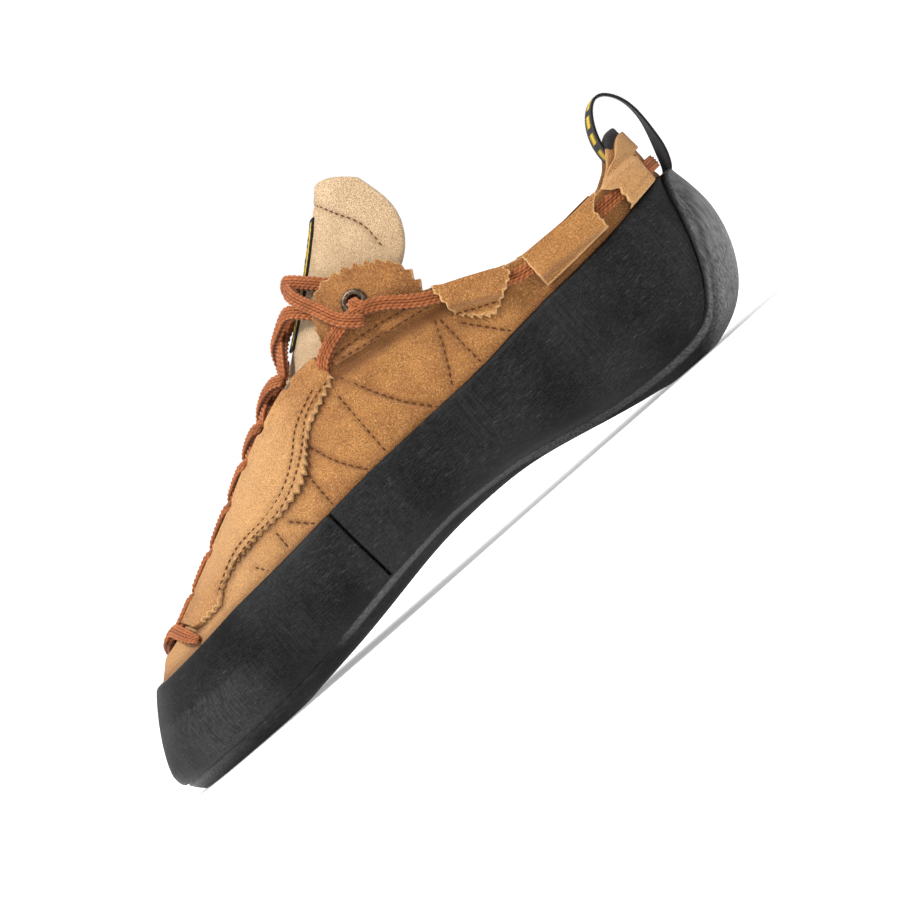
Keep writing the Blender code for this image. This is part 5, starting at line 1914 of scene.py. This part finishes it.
    def build_tunnels(self, side: Side) -> list:
        """Build both collar tunnels of one side.

        Args:
            side: Side of the shoe.

        Returns:
            The pieces.
        """
        pieces = []
        length = SIZES.length
        spans = (
            ("front", 0.6715, 0.7665, self.front_low, FRONT_TUNNEL_STITCHES, 130),
            ("rear", 0.7885, 0.8985, self.rear_low, REAR_TUNNEL_STITCHES, 110),
        )
        for word, start, end, line, stitches, count in spans:
            places = self.side_places(side, start * length, end * length, count, 0.3 * MM)
            low = self.over_rand(places, self.last.turn_on(places, line))
            along = self.run(places, low)
            if word == "front":
                x = self.last.edge_x(places)
                drop = 2.0 * MM * bell(x - 0.165, 7 * MM)
                low = low + (teeth(along, 2.6 * MM, 1.4 * MM) - drop) / self.last.pace(places, low)
                low = self.over_rand(places, low)
            high = self.upper.top_turn(places)

            def flutter(grid: Grid, word: str = word) -> Array:
                """Return how far the frayed ends move along x.

                Args:
                    grid: The patch.
                    word: Which tunnel it is.

                Returns:
                    Distances.
                """
                over = self.over_lace(grid)
                back = teeth(grid.z, 2.4 * MM, 1.3 * MM) * ramp(grid.end, 4 * MM)
                front = teeth(grid.z, 3.0 * MM, 0.8 * MM) * ramp(grid.start, 4 * MM)
                reach = 3.6 * MM * over * ramp(grid.end, 7 * MM)
                return front - back if word == "front" else 0.5 * front - 0.9 * back + reach

            name = f"collar_tunnel_{word}_{side.word}"
            piece = self.cover(name, places, low, high, stitches, flutter)
            pieces.append(stand_for(piece, f"tunnel_{word}_{side.word}"))
        return pieces

    def build_tab(self) -> bpy.types.Object:
        """Build the heel tab, open over the lace at the back.

        Returns:
            The piece.
        """
        last, length = self.last, SIZES.length
        start = float(last.place_at(1, 0.934 * length))
        end = float(last.place_at(-1, 0.934 * length)) + last.round
        places = start + (end - start) * spread(220, 0.3 * MM, 0.3 * MM, end - start)
        base = self.over_rand(places, np.full(places.shape, -0.9))
        window = last.turn_on(places, lambda x: np.full(np.shape(x), 1.035 * SIZES.collar_height))
        share = soft_step((last.edge_x(places) / length - 0.986) / 0.010 + 0.5)
        low = base + (window - base) * share
        top = self.upper.top_turn(places)
        drop = 0.4 + 2.6 * soft_step((last.edge_x(places) / length - 0.952) / 0.02)
        high = top - drop * MM / self.last.pace(places, top)

        def flutter(grid: Grid) -> Array:
            """Return how far the frayed ends move along x.

            Args:
                grid: The patch.

            Returns:
                Distances.
            """
            over = self.over_lace(grid)
            edge = np.minimum(grid.start, grid.end)
            ragged = teeth(grid.z, 2.9 * MM, 1.3 * MM) * ramp(edge, 4 * MM)
            return ragged - 3.2 * MM * over * ramp(edge, 7 * MM)

        piece = self.cover("heel_cap", places, low, high, TAB_STITCHES, flutter, 0.45)
        return stand_for(piece, "heel_tab")

    def build_all(self, finishes: Finishes) -> None:
        """Build and dress the overlays.

        Args:
            finishes: Materials.
        """
        for side in Side:
            dress(self.build_eyestay(side), "suede", finishes.suede)
            dress(self.build_flap(side), "suede", finishes.flap)
            dress(self.build_eyelet(side), "metal", finishes.metal)
            for piece in self.build_tunnels(side):
                dress(piece, "suede", finishes.suede)
        dress(self.build_tab(), "suede", finishes.suede)


@dataclass(frozen=True)
class Braid:
    """Section and plait of the lace."""

    ribs: int = 5
    around: int = 40
    step: float = 0.00036
    rib_depth: float = 0.00022
    plait: float = 0.0019
    plait_depth: float = 0.00024


class Laces:
    """The braided lace: crossings, ankle bands, and the run round the heel."""

    low = -0.0003
    lift = 0.0018
    sink = 0.0008
    seated = 0.40
    end = 0.0011
    bunched = 0.62
    seat = WALLS.gap + WALLS.lace_height / 2
    inset = 0.62 * 0.0048

    def __init__(self, overlays: Overlays, braid: Braid) -> None:
        """Keep what the lace runs over.

        Args:
            overlays: The overlays.
            braid: Section of the lace.
        """
        self.overlays = overlays
        self.upper = overlays.upper
        self.last = overlays.last
        self.braid = braid
        flap = WALLS.overlay_gap + WALLS.gap + WALLS.overlay
        self.over_flap = flap + WALLS.lace_height / 2
        self.hook = flap + WALLS.gap + 1.0 * MM + WALLS.lace_height / 2

    def band(self, build: bmesh.types.BMesh, points: Array, ups: Array, phase: float,
             bunched: float) -> list:
        """Add one braided band to a mesh.

        Args:
            build: Mesh that receives it.
            points: Points of its route.
            ups: Directions that its flat face looks to.
            phase: Shift of the plait.
            bunched: Share of the full section at the start.

        Returns:
            The new vertices.
        """
        braid = self.braid
        knots = np.arange(len(points))
        path, tilt = Curve(knots, points), Curve(knots, ups)
        fine = np.linspace(0, knots[-1], 400)
        length = run_along(path(fine))
        count = max(int(length[-1] / braid.step), 8)
        run = np.linspace(0, length[-1], count + 1)
        t = np.interp(run, length, fine)
        here = path(t)
        ahead = unit(np.gradient(here, axis=0))
        up = tilt(t)
        up = unit(up - ahead * np.sum(up * ahead, axis=-1, keepdims=True))
        across = np.cross(ahead, up)
        angle = np.linspace(0, math.tau, braid.around + 1)
        width = WALLS.lace_width / 2 - braid.rib_depth
        height = WALLS.lace_height / 2 - braid.rib_depth
        flat, round_up = boxy(np.cos(angle), 0.85), boxy(np.sin(angle), 0.85)
        lane = (flat * 0.5 + 0.5) * braid.ribs
        rib = np.abs(np.sin(lane * math.pi)) ** 0.6
        plait = np.sin(math.tau * (run[:, None] / braid.plait + phase)
                       + math.pi * np.floor(lane)[None, :] + 2.2 * (lane - np.floor(lane))[None, :])
        swell = braid.rib_depth * (2 * rib[None, :] - 1) + braid.plait_depth * plait * rib[None, :]
        ends = np.minimum(run, run[-1] - run)
        shrink = 0.35 + 0.65 * rounded(ends, 1.2 * MM)
        shrink = shrink * (bunched + (1 - bunched) * soft_step(run / (7 * MM)))
        side = across[:, None, :] * ((width + swell) * flat)[..., None]
        rise = up[:, None, :] * ((height + swell) * round_up)[..., None]
        ring = here[:, None, :] + (side + rise) * shrink[:, None, None]
        # Painted shade in the braid's grooves, between the ribs and along the plait
        groove = np.clip(0.85 * (1 - rib)[None, :] + 0.35 * (0.5 - 0.5 * plait), 0, 1)
        fresh = bmesh.ops.create_grid(
            build, x_segments=count, y_segments=braid.around, size=0.5
        )["verts"]
        layer = build.verts.layers.float["groove"]
        for vertex in fresh:
            i = round((vertex.co.x + 0.5) * count)
            j = round((vertex.co.y + 0.5) * braid.around)
            vertex.co = ring[i, j]
            vertex[layer] = groove[i, j]
        return fresh

    def strand(self, name: str, routes: Sequence, nodes: Sequence) -> bpy.types.Object:
        """Make bands along routes of place, turn and offset.

        Args:
            name: Name of the piece.
            routes: Routes of the bands.
            nodes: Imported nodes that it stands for.

        Returns:
            The piece.
        """
        build = bmesh.new()
        build.verts.layers.float.new("groove")
        build.verts.layers.float.new("stripe")
        for number, route in enumerate(routes):
            bunched = 1.0
            if isinstance(route[0], float):
                bunched, route = route[0], route[1:]
            place = np.array([float(stop[0]) for stop in route])
            turn = np.array([float(stop[1]) for stop in route])
            offset = np.array([float(stop[2]) for stop in route])
            points = self.last.skin(place, turn, offset)
            ups = self.last.normal(place, turn)
            fresh = self.band(build, points, ups, 0.37 * number, bunched)
            bmesh.ops.remove_doubles(build, verts=fresh, dist=WELD)
        bmesh.ops.holes_fill(build, edges=build.edges[:], sides=self.braid.around + 2)
        bmesh.ops.recalc_face_normals(build, faces=build.faces[:])
        mesh = mesh_of(name, build)
        mesh.shade_smooth()
        piece = link_piece(name, mesh)
        return stand_for(piece, *nodes)

    def stops(self, side: int, rows: Sequence) -> list:
        """Return stops of place, turn and offset on one side.

        Args:
            side: -1 lateral or 1 medial.
            rows: Share of the length, share of the instep height and offset of each stop.

        Returns:
            The stops.
        """
        return [
            (*self.last.at_height(side, np.array(along * SIZES.length),
                                  height * SIZES.instep_height), offset)
            for along, height, offset in rows
        ]

    def crossing(self, start: float, end: float, side: Side, lift: float) -> list:
        """Return the route of one band over the throat between two notches.

        Args:
            start: x of the lower notch.
            end: x of the upper notch.
            side: Side that it starts from.
            lift: Offset at its middle.

        Returns:
            Stops of place, turn and offset.
        """
        throat = self.upper.throat
        first, second = float(throat(start)) - self.inset, float(throat(end)) - self.inset
        route = []
        for i in range(7):
            share = i / 6
            x = start + (end - start) * share
            reach = side.value * (first + (-second - first) * share)
            hump = 1 - (2 * share - 1) ** 2
            seat = self.sink * (self.seated - x / SIZES.length) / self.seated
            offset = self.end * (1 - hump) + (lift - seat) * hump
            route.append((*self.last.across(x, reach), offset))
        # Both ends tuck in under the eyestays' edges
        for stop in (0, -1):
            place, turn, offset = route[stop]
            route[stop] = (place, turn, offset - 0.9 * MM)
        return route

    def top_crossing(self, side: Side, lift: float) -> list:
        """Return the band from the highest notch to the flap of the other side.

        Args:
            side: Side that it starts from.
            lift: Offset at its middle.

        Returns:
            Stops of place, turn and offset.
        """
        start = NOTCHES[-1] * SIZES.length
        reach = side.value * (float(self.upper.throat(start)) - self.inset)
        route = [(*self.last.across(start, reach), self.end - 0.5 * MM)]
        for along, reach in ((0.470, 0.055), (0.486, -0.015), (0.505, -0.060), (0.522, -0.125)):
            stop = self.last.across(along * SIZES.length, side.value * reach * SIZES.width)
            route.append((*stop, lift))
        return route + self.stops(-side.value, ((0.545, 0.735, -0.9 * MM),))

    def ankle_band(self, side: Side, lift: float) -> list:
        """Return the band from one eyelet over the shin to the other side.

        Args:
            side: Side that it starts from.
            lift: Offset on the shin.

        Returns:
            Stops of place, turn and offset.
        """
        rise = self.over_flap + WALLS.lace_height * 0.8
        top = self.hook + WALLS.lace_height / 2
        route = self.stops(side.value, ((0.581, 0.640, top), (0.559, 0.677, top),
                                        (0.549, 0.726, rise), (0.540, 0.775, 0.8 * rise)))
        for along, reach, offset in ((0.538, 0.10, 0.0042), (0.540, -0.02, lift + 0.0004),
                                     (0.553, -0.11, 0.0016)):
            spot = self.last.across(along * SIZES.length, side.value * reach * SIZES.width)
            route.append((*spot, offset))
        return route + self.stops(-side.value, ((0.565, 0.806, 0.5 * MM), (0.582, 0.772, -0.8 * MM),
                                                (0.597, 0.748, -0.9 * MM)))

    def eyelet_band(self, side: Side) -> list:
        """Return the bunched band that comes out of the eyelet.

        Args:
            side: Side of the shoe.

        Returns:
            Share of the section at its start, then stops of place, turn and offset.
        """
        return [self.bunched, *self.stops(side.value, (
            (0.588, 0.712, 0.2 * MM), (0.586, 0.704, self.over_flap - 1.2 * MM),
            (0.585, 0.690, self.hook), (0.592, 0.668, self.hook),
        ))]

    def hook_band(self, side: Side) -> list:
        """Return the band from the top notch round the hook to the collar tunnel.

        Args:
            side: Side of the shoe.

        Returns:
            Stops of place, turn and offset.
        """
        flap = self.over_flap
        return self.stops(side.value, (
            (0.494, 0.622, -0.6 * MM), (0.508, 0.639, flap - 1.2 * MM), (0.535, 0.660, flap),
            (0.571, 0.672, self.hook), (0.607, 0.656, self.hook), (0.640, 0.612, flap),
            (0.664, 0.584, flap - 0.6 * MM), (0.684, 0.563, self.seat),
        ))

    def heel_run(self) -> list:
        """Return the route through the tunnels and round the heel.

        Returns:
            Stops of place, turn and offset.
        """
        last, length = self.last, SIZES.length
        xs = np.linspace(0.676 * length, last.heel_axis, 12)
        lateral = last.place_at(-1, xs)
        medial = last.place_at(1, xs[::-1])
        back = np.linspace(lateral[-1], medial[0] - last.round, 26)[1:-1]
        places = np.concatenate((lateral, back, medial))
        turns = last.turn_on(places, self.overlays.lace_line)
        sunk = self.seat - 0.9 * MM * soft_step((last.edge_x(places) / length - 0.955) / 0.03)
        return list(zip(places, turns, sunk))

    def build_all(self, finishes: Finishes) -> None:
        """Build and dress the laces.

        Args:
            finishes: Materials.
        """
        length, seat, tucked = SIZES.length, self.seat, self.seat - 0.9 * MM
        bar = self.stops(-1, ((0.143, 0.306, tucked), (0.133, 0.330, seat), (0.124, 0.350, seat)))
        bar.append((*self.last.across(0.116 * length, 0.0001), seat + WALLS.gap))
        bar += self.stops(1, ((0.106, 0.348, seat), (0.098, 0.328, seat), (0.094, 0.308, tucked)))
        front = [[self.bunched, *bar]]
        for first, second in zip(NOTCHES, NOTCHES[1:]):
            for side, lift in ((Side.LATERAL, self.low), (Side.MEDIAL, self.lift)):
                front.append(self.crossing(first * length, second * length, side, lift))
        ankle = []
        for side, lift in ((Side.LATERAL, 0.0006), (Side.MEDIAL, 0.0028)):
            front.append(self.top_crossing(side, lift))
            ankle.append(self.ankle_band(side, lift))
            ankle.append(self.hook_band(side))
            ankle.append(self.eyelet_band(side))
        dress(self.strand("lace_throat", front, ("lace_front",)), "lace", finishes.lace)
        dress(self.strand("lace_hooks", ankle, ("lace_ankle",)), "lace", finishes.lace)
        heel = self.strand("lace_collar", [self.heel_run()], ("lace_heel",))
        dress(heel, "lace", finishes.lace)


class PullLoop:
    """The webbing loop at the heel."""

    def __init__(self, last: Last) -> None:
        """Keep the last."""
        self.last = last

    def build(self, finishes: Finishes) -> bpy.types.Object:
        """Build and dress the loop.

        Args:
            finishes: Materials.

        Returns:
            The piece.
        """
        rows = np.array(LOOP)
        points = np.stack((rows[:, 0] * SIZES.length, np.zeros(len(rows)),
                           rows[:, 1] * SIZES.collar_height), axis=-1) + self.last.shift
        knots = np.arange(len(points))
        path, slope = Curve(knots, points), Curve(knots, rows[:, 2])
        count, around = 220, 36
        fine = np.linspace(0, knots[-1], 600)
        length = run_along(path(fine))
        run = np.linspace(0, length[-1], count + 1)
        t = np.interp(run, length, fine)
        here = path(t)
        ahead = unit(np.gradient(here, axis=0))
        across = unit(np.stack((-slope(t), np.ones(count + 1), np.zeros(count + 1)), axis=-1))
        up = np.cross(ahead, across)
        angle = np.linspace(0, math.tau, around + 1)
        flat, rise = boxy(np.cos(angle), 0.25), boxy(np.sin(angle), 0.25)
        weave = 0.04 * MM * np.sin(run / (0.9 * MM) * math.tau)[:, None] * np.abs(rise)[None, :]
        width = WALLS.web_width / 2 * flat[None, :]
        height = (WALLS.web / 2 - 0.04 * MM + weave) * rise[None, :]
        layer = here[:, None, :] + across[:, None, :] * width[..., None]
        layer = layer + up[:, None, :] * height[..., None]
        dash = (np.mod(run / (5.4 * MM), 1.0) < 0.62)[:, None]
        band = np.abs(width) < 1.6 * MM
        stripe = (dash & band & (rise < -0.8)[None, :]).astype(float)
        # Painted shade in the dips of the weave
        groove = 0.4 * (np.sin(run / (0.9 * MM) * math.tau) < -0.3)[:, None] * np.ones_like(width)
        piece = Patches.sheets("heel_webbing", [layer], count + 1, around + 1,
                               {"stripe": stripe, "groove": groove})
        build = bmesh.new()
        build.from_mesh(piece.data)
        bmesh.ops.holes_fill(build, edges=build.edges[:], sides=around + 2)
        bmesh.ops.recalc_face_normals(build, faces=build.faces[:])
        build.to_mesh(piece.data)
        build.free()
        dress(piece, "webbing", finishes.webbing)
        return stand_for(piece, "pull_loop")


class Stitching:
    """Rows of stitches, each a short sunken thread."""

    def __init__(self, last: Last) -> None:
        """Keep the last."""
        self.last = last

    def row(self, build: bmesh.types.BMesh, route: Sequence, side: Side, offset: float,
            pitch: float, size: tuple) -> None:
        """Add one row of stitches.

        Args:
            build: Mesh that receives them.
            route: Pairs of x and height in millimetres of the side view.
            side: Side of the shoe.
            offset: Face that the row is sewn on.
            pitch: Distance between stitches.
            size: Length, width and height of a stitch.
        """
        spots = np.array([((x - RUBBER_TIP) * MM, z * MM) for x, z in route])
        knots = np.concatenate(((0.0,), np.cumsum(np.hypot(*np.diff(spots, axis=0).T))))
        if len(spots) > 2:
            path = Curve(knots, spots)(np.linspace(0, knots[-1], 120))
        else:
            path = np.stack([np.interp(np.linspace(0, knots[-1], 120), knots, c) for c in spots.T], -1)
        place, turn = self.last.at_height(side.value, path[:, 0], path[:, 1])
        points = self.last.skin(place, turn, np.full(place.shape, offset))
        normal = self.last.normal(place, turn)
        run = run_along(points)
        for at in np.arange(pitch / 2, run[-1], pitch):
            here = along_run(at, run, points)
            ahead = along_run(at + 0.3 * MM, run, points)
            back = along_run(at - 0.3 * MM, run, points)
            up = Vector(along_run(at, run, normal)).normalized()
            forward = Vector(ahead - back).normalized()
            up = (up - forward * up.dot(forward)).normalized()
            across = up.cross(forward)
            turned = Matrix((forward, across, up)).transposed().to_4x4()
            scale = Matrix.Diagonal((*size, 1.0))
            matrix = Matrix.Translation(Vector(here)) @ turned @ scale
            bmesh.ops.create_uvsphere(build, u_segments=8, v_segments=6, radius=0.5, matrix=matrix)

    def build(self, finishes: Finishes) -> bpy.types.Object:
        """Build all rows.

        Args:
            finishes: Materials.

        Returns:
            The piece.
        """
        build = bmesh.new()
        plain = (1.7 * MM, 0.55 * MM, 0.5 * MM)
        small = (1.5 * MM, 0.5 * MM, 0.5 * MM)
        rows = (
            (QUARTER_SEAMS, -0.28 * MM, 2.4 * MM, plain),
            (EYESTAY_STITCHES, 1.72 * MM, 2.3 * MM, small),
            (FLAP_STITCHES, 1.75 * MM, 2.5 * MM, small),
            (FRONT_TUNNEL_STITCHES, 1.6 * MM, 2.2 * MM, small),
            (REAR_TUNNEL_STITCHES, 1.6 * MM, 2.4 * MM, small),
            (TAB_STITCHES, 1.6 * MM, 2.2 * MM, small),
            (TONGUE_STITCHES, Inside.top - 0.30 * MM, 2.3 * MM, small),
        )
        for routes, offset, pitch, size in rows:
            for side in Side:
                for route in routes:
                    self.row(build, route, side, offset, pitch, size)
        mesh = mesh_of("stitches", build)
        mesh.shade_smooth()
        piece = link_piece("stitches", mesh)
        dress(piece, "suede", finishes.thread)
        LOG.info("stitches: %d faces", len(mesh.polygons))
        return piece


@dataclass(frozen=True)
class StudioSizes:
    """Sizes of the camera."""

    roll: float = 41.13
    elevation: float = 1.1
    distance: float = 2.4
    frame_width: float = 0.2776
    aim: tuple = (0.0092, -0.018, 0.0303)
    sensor: float = 36.0


class Studio:
    """Floor, lights and the photograph's camera."""

    def __init__(self, sizes: StudioSizes) -> None:
        """Keep the sizes."""
        self.sizes = sizes

    def build(self) -> None:
        """Build the floor, the lights and the camera."""
        self.floor()
        self.lights()
        self.camera()

    def floor(self) -> None:
        """Lay the plain pale floor."""
        build = bmesh.new()
        bmesh.ops.create_grid(build, x_segments=1, y_segments=1, size=30.0)
        mesh = mesh_of("floor", build)
        floor = new_object("floor", mesh)
        n = Nodes("floor_paper")
        n.set(base_color=(0.9, 0.9, 0.9, 1.0), roughness=0.95, specular_ior_level=0.05,
              emission_color=(1.0, 1.0, 1.0, 1.0), emission_strength=0.35)
        mesh.materials.append(n.material)

    def lights(self) -> None:
        """Set the soft lights and the world."""
        world = bpy.data.worlds.new("studio")
        world.use_nodes = True
        background = world.node_tree.nodes["Background"]
        background.inputs["Color"].default_value = (1.0, 1.0, 1.0, 1.0)
        background.inputs["Strength"].default_value = 1.0
        bpy.context.scene.world = world
        lamps = (
            ("key", (-0.40, -0.75, 1.45), 0.30, 21.5), ("front", (-1.3, -0.9, 0.5), 0.8, 3.0),
            ("top", (-0.35, -0.25, 1.5), 0.5, 12.5),
        )
        for name, spot, size, power in lamps:
            lamp = bpy.data.lights.new(name, "AREA")
            lamp.shape = "DISK"
            lamp.size = size
            lamp.energy = power
            light = new_object(name, lamp)
            light.location = spot
            aim = Vector((0, 0, 0.04)) - Vector(spot)
            light.rotation_euler = aim.to_track_quat("-Z", "Y").to_euler()

    def camera(self) -> None:
        """Place the camera at the photograph's angle."""
        sizes = self.sizes
        roll, rise = math.radians(sizes.roll), math.radians(sizes.elevation)
        back = Vector((0, -math.cos(rise), math.sin(rise)))
        level = Vector((1, 0, 0))
        upright = back.cross(level)
        right = level * math.cos(roll) - upright * math.sin(roll)
        up = back.cross(right)
        data = bpy.data.cameras.new("camera")
        data.sensor_width = sizes.sensor
        data.lens = sizes.sensor * sizes.distance / sizes.frame_width
        data.clip_end = 60.0
        camera = new_object("camera", data)
        matrix = Matrix((right, up, back)).transposed().to_4x4()
        matrix.translation = Vector(sizes.aim) + back * sizes.distance
        camera.matrix_world = matrix
        bpy.context.scene.camera = camera
        bpy.context.scene.view_settings.view_transform = "Standard"


def main() -> None:
    """Build the shoe from the inside out and set the studio."""
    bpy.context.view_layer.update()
    last = Last(SIZES)
    patches = Patches(last)
    finishes = Finishes.make()
    upper = Upper(last, patches)
    wall = upper.build()
    dress(wall, "suede", finishes.suede, finishes.lining)
    Inside(upper).build_all(finishes)
    Rubber(upper).build_all(finishes)
    overlays = Overlays(upper)
    overlays.build_all(finishes)
    Laces(overlays, Braid()).build_all(finishes)
    PullLoop(last).build(finishes)
    Stitching(last).build(finishes)
    Studio(StudioSizes()).build()


if __name__ == "__main__":
    main()
